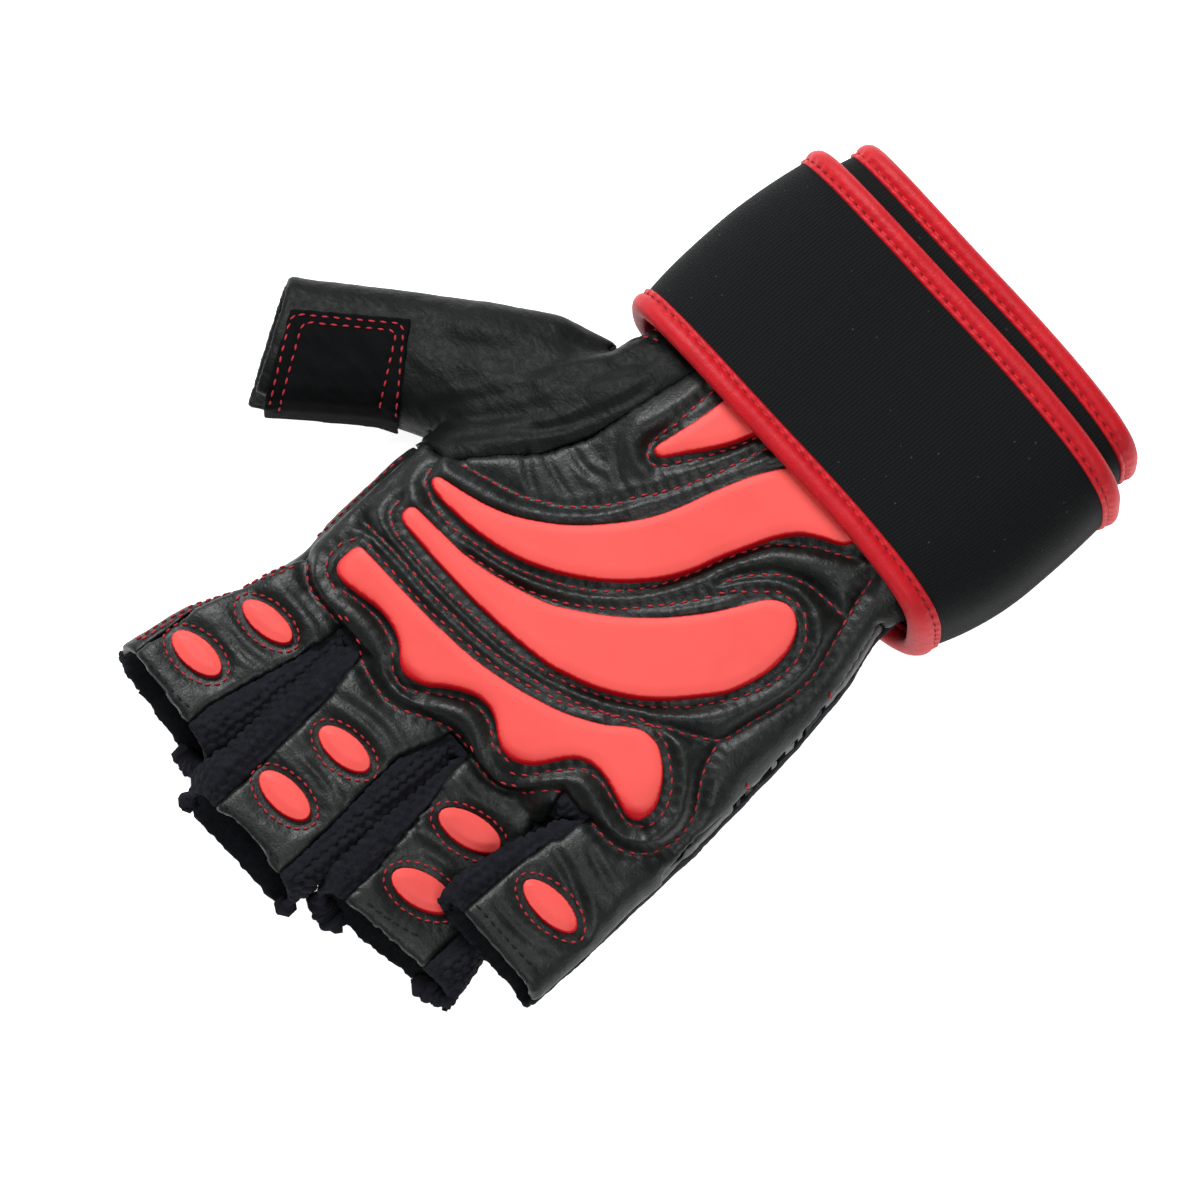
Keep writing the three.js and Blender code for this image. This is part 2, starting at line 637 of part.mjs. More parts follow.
// The pads and inserts run under the strap's outer turn and end before its inner one
const layerEnd = strapFrontY + strapLead * (middleTurn - padEndTurn) - bindingLip - seamGap;
const clearOfStrap = prism([
  new THREE.Vector2(-farAway, -farAway), new THREE.Vector2(farAway, -farAway),
  new THREE.Vector2(farAway, layerEnd), new THREE.Vector2(-farAway, layerEnd),
]);
const pads = {};
const inserts = {};
for (const [name, rows] of Object.entries(insertRibbons)) {
  const insertShape = ribbonOutline(rows, (row) => row.half * palmWidth);
  const windowShape = ribbonOutline(rows, (row) => row.half * palmWidth + seamGap);
  const padShape = ribbonOutline(rows, (row) => (row.half + row.pad) * palmWidth);
  inserts[`insert_${name}`] = layer(insertShape, seamGap, insertHeight);
  pads[`pad_${name}`] = layer(padShape, seamGap, padHeight).subtract(prism(windowShape));
}
const none = () => 0;
const knuckleInsert = knuckleOutline(none, none, 0);
const knuckleWindow = knuckleOutline(() => seamGap, () => seamGap, seamGap);
const knucklePad = knuckleOutline((row) => row.above * palmLength, (row) => row.below * palmLength,
  knuckleEndPad * palmWidth);
inserts.insert_knuckle = layer(knuckleInsert, seamGap, insertHeight);
pads.pad_knuckle = layer(knucklePad, seamGap, padHeight).subtract(prism(knuckleWindow));

// Oval pads: the centre as shares of the palm's width and length, and the tilt in degrees
const ovalRows = [
  { name: "oval_index_1", finger: "index", x: -0.402, y: -0.608, tilt: 6 },
  { name: "oval_index_2", finger: "index", x: -0.453, y: -0.768, tilt: 4 },
  { name: "oval_middle_1", finger: "middle", x: -0.072, y: -0.679, tilt: 6 },
  { name: "oval_middle_2", finger: "middle", x: -0.083, y: -0.843, tilt: 3 },
  { name: "oval_ring_1", finger: "ring", x: 0.238, y: -0.593, tilt: 20 },
  { name: "oval_ring_2", finger: "ring", x: 0.266, y: -0.757, tilt: 22 },
  { name: "oval_little_1", finger: "little", x: 0.493, y: -0.589, tilt: 4 },
];
const ovals = {};
for (const row of ovalRows) {
  const sections = fingerSections(fingers[row.finger]);
  const skin = tube(sections, ovalHeight, false, true).subtract(tube(sections, seamGap, false, true));
  const shape = ellipse(row.x * palmWidth, row.y * palmLength, row.tilt);
  ovals[row.name] = skin.intersect(prism(shape, ovalFloor));
}

// The suede patch lies near the thumb's cuff and turns round its lower edge
function thumbPatch() {
  const cuffEnd = thumbLength - patchInset;
  const shape = [
    thumbPlace(cuffEnd, patchReach), thumbPlace(cuffEnd, -thumbWidth),
    thumbPlace(cuffEnd - patchLength, -thumbWidth), thumbPlace(cuffEnd - patchLength, patchReach),
  ];
  const skin = thumbTube(patchHeight).subtract(thumbTube(seamGap));
  return skin.intersect(prism(shape, patchFloor));
}

// Finishes of the real pieces
const material = (color, roughness) =>
  new THREE.MeshStandardMaterial({ color, roughness, metalness: 0 });
const finishes = {
  leather: material(0x2a2d2c, 0.5),
  knit: material(0x16171c, 0.95),
  stretch: material(0x1c1e22, 0.85),
  suede: material(0x101113, 0.8),
  neoprene: material(0x191b1e, 0.8),
  rubber: material(0xf04848, 0.55),
  binding: material(0xc8202c, 0.45),
};

const glove = new THREE.Group();
function addPiece(name, solid, finish) {
  const mesh = new THREE.Mesh(toGeometry(largest(solid)), finishes[finish]);
  mesh.name = name;
  glove.add(mesh);
}

addPiece("palm_panel", palmPanel, "leather");
addPiece("back_panel", backPanel, "stretch");
addPiece("thumb_sleeve", thumbLeather, "leather");
addPiece("thumb_patch", thumbPatch(), "suede");
addPiece("index_strip", indexStrip, "leather");
for (const [name, solid] of Object.entries(gussets)) addPiece(name, solid, "knit");
sidePanelNames.forEach((name, i) => addPiece(name, sidePanelPieces[i], "leather"));
for (const [name, solid] of Object.entries(flexBands)) addPiece(name, solid, "stretch");
for (const [name, solid] of Object.entries(pads)) addPiece(name, solid, "leather");
for (const [name, solid] of Object.entries({ ...inserts, ...ovals })) addPiece(name, solid, "rubber");
addPiece("wrist_strap", strapBand(), "neoprene");
addPiece("strap_binding_front", strapBinding(false), "binding");
addPiece("strap_binding_rear", strapBinding(true), "binding");
addPiece("closure_tab", closureTab(), "neoprene");

// The origin is the middle of the glove's footprint, on the surface that it lies on
const box = new THREE.Box3().setFromObject(glove);
const middle = box.getCenter(new THREE.Vector3());
glove.position.set(-middle.x, -middle.y, -box.min.z);

export default glove;
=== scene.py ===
"""Fingerless weightlifting glove: the detailed model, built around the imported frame."""
import math
import random

import bmesh
import bpy
from bpy.props import FloatProperty, FloatVectorProperty, PointerProperty
from mathutils import Matrix, Vector, noise
from mathutils.bvhtree import BVHTree
from mathutils.kdtree import KDTree


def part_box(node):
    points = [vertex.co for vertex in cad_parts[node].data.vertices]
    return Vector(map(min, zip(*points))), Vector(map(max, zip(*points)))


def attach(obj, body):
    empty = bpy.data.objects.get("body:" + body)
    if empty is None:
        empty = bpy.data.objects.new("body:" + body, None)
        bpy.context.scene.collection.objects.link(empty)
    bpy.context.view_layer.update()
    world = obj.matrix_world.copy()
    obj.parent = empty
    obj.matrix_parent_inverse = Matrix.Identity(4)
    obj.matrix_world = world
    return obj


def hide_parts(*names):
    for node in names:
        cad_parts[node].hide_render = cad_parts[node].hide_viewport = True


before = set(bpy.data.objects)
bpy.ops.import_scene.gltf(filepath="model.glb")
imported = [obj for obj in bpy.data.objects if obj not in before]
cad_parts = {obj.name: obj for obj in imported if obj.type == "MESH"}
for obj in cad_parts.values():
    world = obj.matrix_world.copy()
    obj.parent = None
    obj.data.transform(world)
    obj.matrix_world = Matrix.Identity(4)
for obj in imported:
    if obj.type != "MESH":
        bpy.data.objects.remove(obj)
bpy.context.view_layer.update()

bl_info = {
    "name": "Weightlifting glove",
    "version": (1, 0, 0),
    "blender": (4, 5, 0),
    "location": "3D View > Sidebar > Glove",
    "description": "Builds a fingerless leather glove with rubber inserts and a wrist wrap",
    "category": "Add Mesh",
}

MM = 0.001

# The sewing plan is drawn in millimetres on level planes, as seen along one slanted line
PLAN_LEAN = Vector((0.2414, -0.2174, 1.0))
PALM_PLANE = 31
FINGER_PLANE = 22
THUMB_PLANE = 20
EDGE_PLANE = 27
SKY = 120

# Outlines of the rubber inserts on the palm plane
INSERT_OUTLINES = {
    "thenar": [
        (-10.6, 25.6), (-10, 30), (-9, 37), (-8.5, 43.5), (-8, 47), (3, 47), (1.5, 43.5), (0, 39),
        (-2, 35), (-5, 30), (-7, 26.5), (-8, 25), (-9.6, 24.6),
    ],
    "heel": [
        (-37, -13.9), (-34, -12.9), (-30, -11.9), (-25, -10.3), (-20, -8), (-15, -4.6), (-10, -0.3),
        (-5, 5.5), (0, 13), (3, 20), (5, 27), (7, 33), (9, 38), (12, 43.5), (14, 47), (36, 47),
        (34.4, 43.5), (32.8, 40.8), (29, 38.6), (25, 35.6), (22, 31), (19.6, 25), (17.4, 19),
        (15.6, 13), (13, 7.5), (9.5, 2.5), (5, -2.5), (0, -6.7), (-5, -10), (-10, -12.6),
        (-15, -14.4), (-20, -15.6), (-25, -16.4), (-31, -16.8), (-35, -16.6), (-37.3, -15.6),
    ],
    "palm": [
        (-36.2, -24.2), (-35.6, -22.6), (-33, -22), (-20, -21.4), (-10, -19.2), (0, -15.6), (5, -12.4),
        (10, -8.6), (15, -4), (20, 1.6), (25, 8.6), (28, 14), (30, 18), (32, 21), (35, 22.8),
        (38, 22.6), (41, 20.2), (43, 16), (43.6, 11), (43, 6), (41.2, 0), (38, -5), (34, -10.4),
        (30, -14.6), (25, -18.4), (20, -21.2), (15, -23.2), (10, -24.8), (0, -26.2), (-10, -26.9),
        (-20, -27), (-30, -26.7), (-35, -26.2),
    ],
    "knuckle": [
        (-37.2, -39), (-36.4, -37.2), (-34, -36.8), (-20, -36.8), (-10, -36.5), (0, -35.6), (10, -33.4),
        (15, -31.8), (20, -30), (25, -27.4), (29, -24.8), (32, -22), (35, -19.8), (38, -19.1),
        (41, -19.6), (45, -22.2), (48, -25.4), (50, -28.8), (50.3, -31.4), (49.4, -33.8), (47, -34.7),
        (44.5, -34.2), (38, -32.6), (34, -32.6), (31, -33.8), (29, -36), (27, -39.4), (25, -42.4),
        (22, -44.5), (19, -45), (16, -44), (13, -42), (10.5, -40.8), (8, -40.5), (5, -41), (2, -42.6),
        (-1, -44.8), (-4, -47.5), (-8, -49.1), (-11, -48.3), (-14, -45.8), (-17, -44.3), (-20, -43.6),
        (-24, -43.4), (-30, -44.5), (-34.4, -45), (-36.8, -43.4),
    ],
}

# Oval rubber pads: centre on the leather, half length, half width and tilt in degrees
OVALS = {
    "index_1": (-40.2, -60.8, 6.9, 3.1, 6),
    "index_2": (-45.3, -76.8, 6.9, 3.4, 4),
    "middle_1": (-7.2, -67.9, 7.0, 3.4, 6),
    "middle_2": (-8.3, -84.3, 7.2, 3.5, 3),
    "ring_1": (23.8, -59.3, 7.5, 3.6, 20),
    "ring_2": (26.6, -75.7, 7.2, 3.8, 22),
    "little_1": (49.3, -58.9, 7.5, 3.4, 4),
}

# The plan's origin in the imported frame, found from the first oval of the middle finger
OVAL_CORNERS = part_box("oval_middle_1")
PLAN_ORIGIN = (OVAL_CORNERS[0] + OVAL_CORNERS[1]).xy / 2 / MM - Vector(OVALS["middle_1"][:2])

# Rows of red stitches on the palm plane
PALM_ROWS = [
    [(-18, 44), (-18.3, 35), (-19.5, 27), (-20.5, 22), (-22, 15), (-24, 10), (-27, 5), (-31, 1),
     (-34.5, -2.5), (-37.5, -6), (-39.5, -9)],
    [(-11.5, 44), (-11.6, 37), (-12, 30), (-12.3, 26.5), (-11.5, 24), (-9.5, 22.8), (-7, 23.2),
     (-5.3, 25.5), (-3, 29), (-1, 33), (1, 37.5), (3.2, 44)],
    [(-39.5, -10.5), (-36, -8.8), (-30, -6.5), (-25, -4.9), (-20, -2.7), (-15, 0.7), (-12, 3.5),
     (-9, 7), (-6.8, 10.5), (-4.3, 15.5), (-1.8, 20), (0.3, 25), (2.2, 30), (4.2, 36), (6, 44)],
    [(-38.6, -13.4), (-38.2, -15.9), (-36.3, -17.8), (-33, -19.2), (-29, -19.6), (-24, -19.2),
     (-18, -18), (-12, -16.2), (-6, -13.6), (0, -10.2), (5, -6.4), (9, -2.2), (12, 2), (14.4, 7),
     (16.4, 12.5), (18.4, 18.6), (20.4, 24), (23, 29.2), (26, 33.2), (30, 36.6), (34, 38.7), (37.5, 40.5)],
    [(-37.9, -23.2), (-37.8, -26), (-36, -28.2), (-33, -29.3), (-28, -29.6), (-20, -29.8),
     (-10, -29.5), (0, -28.8), (8, -27.4), (15, -25.4), (22, -22.2), (28, -18.6), (33, -14.6),
     (37, -10.6), (40, -6.4), (43, -1.2), (45, 4.2), (46, 10), (45.6, 16), (43.4, 20.8), (40, 23.8),
     (36.5, 24.6), (33, 24), (29.6, 21.6), (26.6, 17.8), (23.5, 12.8), (20.4, 7.4), (17.4, 2.6),
     (13.4, -2.6), (9, -7), (4.5, -10.9), (0, -13.9), (-5, -16.5), (-12, -18.8), (-20, -20.4)],
    [(22, 16), (24, 20), (27, 24), (30, 27), (34, 29), (38, 29.8), (42, 30.1), (45.2, 30.2)],
    [(42.5, 41), (44, 36.5), (45.7, 31.2), (47.6, 26), (49.6, 20), (51, 13.5), (50.7, 6), (49.7, 0),
     (49.1, -5), (48.3, -8.5), (45, -11), (41.5, -13.4), (37.5, -16.4), (33, -19.8), (28.5, -22.4),
     (22, -25.4), (15, -28.2), (8, -30.2), (0, -31.8), (-10, -32.6), (-20, -32.8), (-30, -32.3),
     (-40, -32.5)],
    [(-36, -35.3), (-28, -35.2), (-20, -35.3), (-10, -34.9), (0, -33.9), (8, -32.2), (16, -29.5),
     (23, -26), (28, -22.4), (32, -19.2), (35.5, -17.7), (40, -17.5), (45, -19.8), (49, -23.3),
     (51.8, -27.4), (52.3, -31.4), (51, -34.8), (48, -36), (43, -35.1), (38, -34.3), (34.6, -34.6),
     (32, -36.6), (29.6, -40), (27.2, -43.6), (24, -46.1), (20.5, -47.1), (17, -46.2), (13, -43.8),
     (9.5, -42.7), (5, -43.2), (1, -45.8), (-3, -49.2), (-6, -50.9), (-9, -50.7), (-12, -49),
     (-15, -47), (-19, -45.7), (-24, -45.3), (-29, -46.2), (-33, -47), (-36.4, -46.2), (-38.6, -43.4),
     (-38.9, -39), (-37.6, -36.2)],
    [(48.5, -9.5), (50.5, -15), (54, -19.8), (57, -24), (58.5, -29), (58, -34), (56.3, -38),
     (53, -40.8), (49, -41.8), (44, -41.5), (40, -41.2), (36.5, -41.6)],
]

# Rows of red stitches on the finger plane
FINGER_ROWS = [
    [(-43.4, -46), (-41.5, -48.2), (-37.5, -49.8), (-30, -50), (-24.5, -49.9), (-20.5, -51.6),
     (-16, -53.3), (-10, -54.3), (-5, -53.4), (-1, -51), (2.5, -48.8), (7, -47.9), (12, -48.6),
     (18, -49.8), (22.5, -49), (25.8, -46.3), (28.8, -42.8), (32, -39.7)],
]

# Red stitches along the leather strip on the index side, then short rows on both sides of the
# stretch breaks in the little-finger side. Each row is on a plane of its own
SIDE_ROWS = [
    (EDGE_PLANE, [(-46.3, -15.5), (-46.2, -22), (-46, -30), (-45.4, -38), (-44.9, -47)]),
    (FINGER_PLANE, [(-44.6, -48.5), (-46, -53), (-48.6, -59), (-50.6, -65), (-52, -71), (-53.4, -78),
                    (-54.4, -85)]),
    (FINGER_PLANE, [(-45.9, -50), (-47.6, -55), (-50, -61), (-51.8, -67), (-53.4, -74), (-54.6, -80),
                    (-55.2, -86)]),
    (PALM_PLANE, [(56.8, 15.4), (59, 15), (61.2, 14)]),
    (PALM_PLANE, [(57.6, 10.2), (59.8, 9.6), (61.6, 8.2)]),
    (PALM_PLANE, [(59.2, -7), (61.2, -7.6), (63, -9.2)]),
    (PALM_PLANE, [(59.6, -11.4), (61.6, -12.2), (63.4, -14)]),
]

# The thumb's axis, how much further its cuff reaches per millimetre towards the palm, and between
# which distances from the thumb's root the patch follows that
THUMB_ROOT = Vector((-42.1, 24.8))
THUMB_WAY = Vector((-0.755, -0.656))
CUFF_SLANT = 0.155
SLANT_FROM = 32
SLANT_TO = 60

# Double rows on the thumb patch and at the thumb's root, on the thumb plane
PATCH_OUTER = [(-76.2, -28.1), (-88.6, -10.4), (-70.5, 6.2), (-55.6, -9.6)]
PATCH_INNER = [(-74, -27.4), (-85.6, -9.9), (-70.4, 4), (-59.6, -10.8)]
ROOT_ROWS = [
    [(-36.8, 43), (-34, 45), (-31, 47)],
    [(-36.6, 40.6), (-33.4, 42.8), (-30, 45)],
]

# Black rows along the hems, on the finger plane
HEM_ROWS = [
    [(-52.6, -87.4), (-47, -87), (-41, -87.4), (-35.4, -87.2)],
    [(-15, -96.4), (-8, -96.2), (-2, -96.2), (3.5, -96.2)],
    [(22.5, -88.2), (27, -87.6), (32, -86.4), (36, -85)],
    [(38.5, -71), (44, -71), (50, -71.2), (56, -71.2), (59.6, -71.2)],
]

# Folds in the leather: plane, depth and width in millimetres, and points
CREASES = [
    (THUMB_PLANE, 0.8, 2.6, [(-28, 42), (-32, 34), (-35, 27), (-37, 21)]),
    (THUMB_PLANE, 0.8, 3.2, [(-31, 27), (-34, 20), (-38, 12), (-44, 3), (-49, -4)]),
    (THUMB_PLANE, 0.35, 1.3, [(-26, 25), (-30, 17), (-35, 9), (-41, 1), (-46, -6)]),
    (THUMB_PLANE, 0.3, 1.4, [(-38, 22), (-43, 13), (-49, 4), (-53, -3), (-55, -7)]),
    (THUMB_PLANE, 0.5, 2.8, [(-46, 25), (-52, 18), (-60, 11), (-66, 9)]),
    (THUMB_PLANE, 0.6, 2.8, [(-30, 38), (-38, 34), (-46, 29), (-55, 24)]),
    (THUMB_PLANE, 0.4, 1.1, [(-24, 36), (-25, 30), (-27, 24)]),
    (THUMB_PLANE, 0.4, 1.1, [(-28, 22), (-30, 16), (-33, 11)]),
    (PALM_PLANE, 0.45, 1.0, [(-22, 12), (-17, 11), (-12, 12)]),
    (PALM_PLANE, 0.5, 1.0, [(-29, 4), (-24, 1), (-20, -1)]),
    (PALM_PLANE, 0.4, 0.9, [(-17, 21), (-12, 16), (-7, 14)]),
    (PALM_PLANE, 0.4, 0.9, [(-26, 7), (-20, 5), (-14, 4)]),
    (FINGER_PLANE, 0.7, 1.2, [(-16, -62), (-10, -60.5), (-4, -60), (2, -61)]),
    (FINGER_PLANE, 0.6, 1.1, [(-15, -76.5), (-8, -75.5), (-2, -76), (3, -77.5)]),
    (FINGER_PLANE, 0.5, 1.0, [(-15, -78.5), (-8, -78), (0, -78.5)]),
    (FINGER_PLANE, 0.5, 1.1, [(-43, -53), (-36, -53), (-29, -54)]),
    (FINGER_PLANE, 0.5, 1.0, [(-44, -69.5), (-38, -70), (-32, -69)]),
    (FINGER_PLANE, 0.7, 1.2, [(40, -50), (47, -51.5), (54, -54), (59, -58)]),
    (FINGER_PLANE, 0.5, 1.0, [(42, -68), (50, -68), (58, -66)]),
    (FINGER_PLANE, 0.6, 1.1, [(16, -70), (22, -68.5), (29, -67)]),
    (FINGER_PLANE, 0.5, 1.0, [(14, -53), (20, -53.5), (27, -51)]),
    (FINGER_PLANE, 0.5, 1.0, [(46, -44.5), (50, -46), (56, -47)]),
]

# The plain pieces: node, voxel in mm, smoothing passes, finish and slot
SIDES = {
    "index_strip_leather": ("index_strip", 0.6, 30, "black_leather", "leather"),
    "side_leather_wrist": ("side_panel_wrist", 0.5, 20, "black_leather", "leather"),
    "side_leather_middle": ("side_panel_middle", 0.5, 20, "black_leather", "leather"),
    "side_leather_finger": ("side_panel_finger", 0.5, 20, "black_leather", "leather"),
    "stretch_break_wrist": ("flex_band_wrist", 0.5, 12, "stretch_cloth", "stretch"),
    "stretch_break_finger": ("flex_band_finger", 0.5, 12, "stretch_cloth", "stretch"),
    "back_cloth": ("back_panel", 0.75, 50, "stretch_cloth", "stretch"),
}

# Their edges in mm: where the smoothing sets in, how far they roll out, and the roughness of the cut
STRIP_EDGE = {"rim": (0.0, 1.2), "roll": -0.1, "nap": 0.0}
BACK_EDGE = {"rim": (-1.5, 3.0), "roll": 0.8, "nap": 0.4}

# The knit: remeshing, waviness, distance of its rows and size of a bead as shares of a loop, and
# how far it puffs out in mm
KNIT = {"voxel": 0.42, "passes": 24, "sway": 0.3, "row_pitch": 0.85, "bead": 0.56, "puff": 2.0}

# Thin shells: the thickest wall and the distance given where no edge is found, in mm, the rays that
# look for edges and the merging distance, in metres, and smoothing passes
THICKEST_WALL = 2.3
NO_RIM = 9.0
RAY_START = 1e-5
RAY_REACH = 0.01
MERGE = 1e-6
EVEN_PASSES = 5
LEATHER_PASSES = 70

# Seams: how far above the ground they are looked for, in metres, and the rest in mm
LIFT_REACH = 0.03
FINGER_LIFT = 0.5
RING_MARGIN = 1.75
THUMB_QUILT = 0.3
PATCH_GROOVE = {"depth": 0.3, "width": 0.8}

# Rubber pads: how deep they reach into the leather in metres, and how wide their rounded edge is in mm
PAD_ROOT = 0.001
PAD_PASSES = 4
DOME_REACH = 2.4

# Search trees over finished leather, by name, that later pieces are laid on
GROUNDS = {}

# Steps in millimetres along the plan's rows, folds and outlines, steps from one knot of a curve to
# the next, and points on the ring round an oval
ROW_STEP = 0.5
CREASE_STEP = 0.6
INSERT_STEP = 0.8
KNOT_SPLITS = 10
RING_POINTS = 16


# The sewing plan

def smooth_path(points, spacing, closed=False):
    """Evenly spaced points along a smooth curve through the given ones."""
    knots = [Vector(point) for point in points]
    count = len(knots)
    spans = count if closed else count - 1

    def knot(i):
        return knots[i % count] if closed else knots[max(0, min(count - 1, i))]

    dense = []
    for i in range(spans):
        a, b, c, d = knot(i - 1), knot(i), knot(i + 1), knot(i + 2)
        for k in range(KNOT_SPLITS):
            t = k / KNOT_SPLITS
            bend = 2 * b + (c - a) * t + (2 * a - 5 * b + 4 * c - d) * t * t
            dense.append((bend + (3 * b - a - 3 * c + d) * t ** 3) / 2)
    dense.append(knot(spans))
    return even_path(dense, spacing, closed)


def even_path(points, spacing, closed=False):
    """Points at equal steps along a polyline. A closed one doesn't repeat its first point."""
    lengths = [0.0]
    for a, b in zip(points, points[1:]):
        lengths.append(lengths[-1] + (b - a).length)
    steps = max(1, round(lengths[-1] / spacing))
    placed = []
    j = 0
    for i in range(steps if closed else steps + 1):
        at = lengths[-1] * i / steps
        while j < len(points) - 2 and lengths[j + 1] < at:
            j += 1
        span = lengths[j + 1] - lengths[j]
        placed.append(points[j].lerp(points[j + 1], (at - lengths[j]) / span if span else 0))
    return placed


def drop(ground, x, y, height=0.1):
    """The first place and normal of the ground straight below a height, in metres."""
    hit, normal, _, _ = ground.ray_cast(Vector((x, y, height)), Vector((0, 0, -1)))
    return hit, normal


def sight_hit(ground, point, plane, lift=0.0):
    """Where the line of sight through a plan point meets the ground raised by lift."""
    place = Vector((point[0], point[1])) + PLAN_ORIGIN
    start = Vector((place.x, place.y, plane)) + PLAN_LEAN * (SKY - plane)
    hit = ground.ray_cast(start * MM, -PLAN_LEAN.normalized())[0]
    if hit is not None and lift:
        aside = PLAN_LEAN.xy * lift * MM
        below = drop(ground, hit.x + aside.x, hit.y + aside.y, hit.z + LIFT_REACH)[0]
        hit = hit if below is None else below
    return hit


def plan_line(ground, points, plane, spacing=ROW_STEP, lift=0.0):
    """The plan's smooth row laid on the ground, as a list of points in metres."""
    laid = [sight_hit(ground, point, plane, lift) for point in smooth_path(points, spacing)]
    return [hit for hit in laid if hit is not None]


def patch_lines(ground):
    """Both rows of the thumb patch laid on the ground, with their corners kept."""
    lines = []
    for row in (PATCH_OUTER, PATCH_INNER):
        path = even_path([Vector(point) for point in row], ROW_STEP)
        laid = [sight_hit(ground, point, THUMB_PLANE) for point in path]
        lines.append([hit for hit in laid if hit is not None])
    return lines


def oval_ring(name, margin):
    """The plan points of a ring round an oval pad."""
    x, y, half_length, half_width, tilt = OVALS[name]
    turn = Matrix.Rotation(math.radians(tilt), 2)
    ring = []
    for k in range(RING_POINTS):
        angle = math.tau * k / RING_POINTS
        reach = Vector(((half_length + margin) * math.cos(angle), (half_width + margin) * math.sin(angle)))
        ring.append(turn @ reach + Vector((x, y)))
    return ring


# Meshes

def scratch(name, bm):
    """An object in the scene made from a bmesh, which it frees."""
    mesh = bpy.data.meshes.new(name)
    bm.to_mesh(mesh)
    bm.free()
    piece = bpy.data.objects.new(name, mesh)
    bpy.context.collection.objects.link(piece)
    return piece


def new_piece(name, bm, material, nodes=()):
    """Makes a piece from a bmesh, gives it its finish and lets it ride on the glove."""
    return dress(scratch(name, bm), material, nodes)


def dress(piece, material, nodes=()):
    """Gives a piece its material, smooth shading and a place on the glove's root, and hides the parts that
    it stands for.
    """
    piece.data.materials.clear()
    piece.data.materials.append(material)
    for polygon in piece.data.polygons:
        polygon.use_smooth = True
    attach(piece, "root")
    if nodes:
        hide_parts(*nodes)
    return piece


def bake(piece):
    """Applies a piece's modifiers to its mesh."""
    depsgraph = bpy.context.evaluated_depsgraph_get()
    mesh = bpy.data.meshes.new_from_object(piece.evaluated_get(depsgraph))
    piece.modifiers.clear()
    old = piece.data
    piece.data = mesh
    bpy.data.meshes.remove(old)


def joined(names):
    """A bmesh of the given objects."""
    bm = bmesh.new()
    for name in names:
        bm.from_mesh(bpy.data.objects[name].data)
    return bm


def merged_copy(nodes):
    """A bmesh of the given nodes with their loose triangles merged."""
    bm = joined(nodes)
    bmesh.ops.remove_doubles(bm, verts=bm.verts, dist=MERGE)
    return bm


def tree_from(bm):
    """A search tree over a bmesh, which it frees."""
    tree = BVHTree.FromBMesh(bm)
    bm.free()
    return tree


def tree_of(mesh):
    """A search tree over a mesh."""
    return BVHTree.FromPolygons([v.co for v in mesh.vertices], [p.vertices for p in mesh.polygons])


def kd_of(lines):
    """A search tree over the points of several lines, with each point's distance along its line."""
    rows = []
    for line in lines:
        at = 0.0
        for i, place in enumerate(line):
            if i:
                at += (place - line[i - 1]).length
            rows.append((place, at))
    tree = KDTree(max(1, len(rows)))
    for i, (place, _) in enumerate(rows):
        tree.insert(place, i)
    tree.balance()
    return tree, [at for _, at in rows]


def remeshed(name, bm, voxel):
    """An object whose mesh is the voxel remesh of a bmesh."""
    piece = scratch(name, bm)
    remesh = piece.modifiers.new("remesh", "REMESH")
    remesh.mode = "VOXEL"
    remesh.voxel_size = voxel * MM
    bake(piece)
    return piece


def drop_crumbs(piece, share=0.05):
    """Deletes the loose bits that a remesh leaves, each smaller than a share of the piece."""
    bm = bmesh.new()
    bm.from_mesh(piece.data)
    unseen = set(bm.verts)
    crumbs = []
    while unseen:
        island = [unseen.pop()]
        for vertex in island:
            for edge in vertex.link_edges:
                other = edge.other_vert(vertex)
                if other in unseen:
                    unseen.remove(other)
                    island.append(other)
        if len(island) < share * len(bm.verts):
            crumbs += island
    bmesh.ops.delete(bm, geom=crumbs, context="VERTS")
    bm.to_mesh(piece.data)
    bm.free()


def smoothed(piece, passes, group=None, factor=0.5):
    """Smooths a piece, or as much of it as a vertex group says."""
    smooth = piece.modifiers.new("smooth", "SMOOTH")
    smooth.factor = factor
    smooth.iterations = passes
    if group:
        smooth.vertex_group = group
    bake(piece)


def step(low, high, value):
    """A smooth step from 0 to 1."""
    t = max(0.0, min(1.0, (value - low) / (high - low)))
    return t * t * (3 - 2 * t)


def bell(far, width):
    """A bell curve: 1 at no distance, falling off over a width."""
    return math.exp(-((far / width) ** 2))


def soften(name, node, voxel, passes, rim=(0.6, 4.5)):
    """A remeshed copy of a thin shell with its facets smoothed away, but not its rims.

    The rim says between which distances from the edge the smoothing sets in, in mm. With the
    piece comes each point's distance from the edge, as it was before the smoothing.
    """
    piece = remeshed(name, merged_copy([node]), voxel)
    drop_crumbs(piece)
    mesh = piece.data
    tree = tree_of(mesh)
    rims = []
    for vertex in mesh.vertices:
        inward = -vertex.normal
        hit, _, _, far = tree.ray_cast(vertex.co + inward * RAY_START, inward, RAY_REACH)
        if hit is None or far > THICKEST_WALL * MM:
            rims.append(vertex.co.copy())
    near, _ = kd_of([rims])
    group = piece.vertex_groups.new(name="soft")
    reach = []
    for vertex in mesh.vertices:
        far = near.find(vertex.co)[2] / MM if rims else NO_RIM
        reach.append(far)
        group.add([vertex.index], step(rim[0], rim[1], far), "REPLACE")
    smoothed(piece, passes, "soft")
    smoothed(piece, EVEN_PASSES)
    return piece, reach


def displace(piece, height_of):
    """Moves each point of a piece along its normal by a height in millimetres."""
    vertices = piece.data.vertices
    places = [vertex.co + vertex.normal * height_of(vertex) * MM for vertex in vertices]
    for vertex, place in zip(vertices, places):
        vertex.co = place
    piece.data.update()


# Materials. Scales are per metre and bump distances in metres

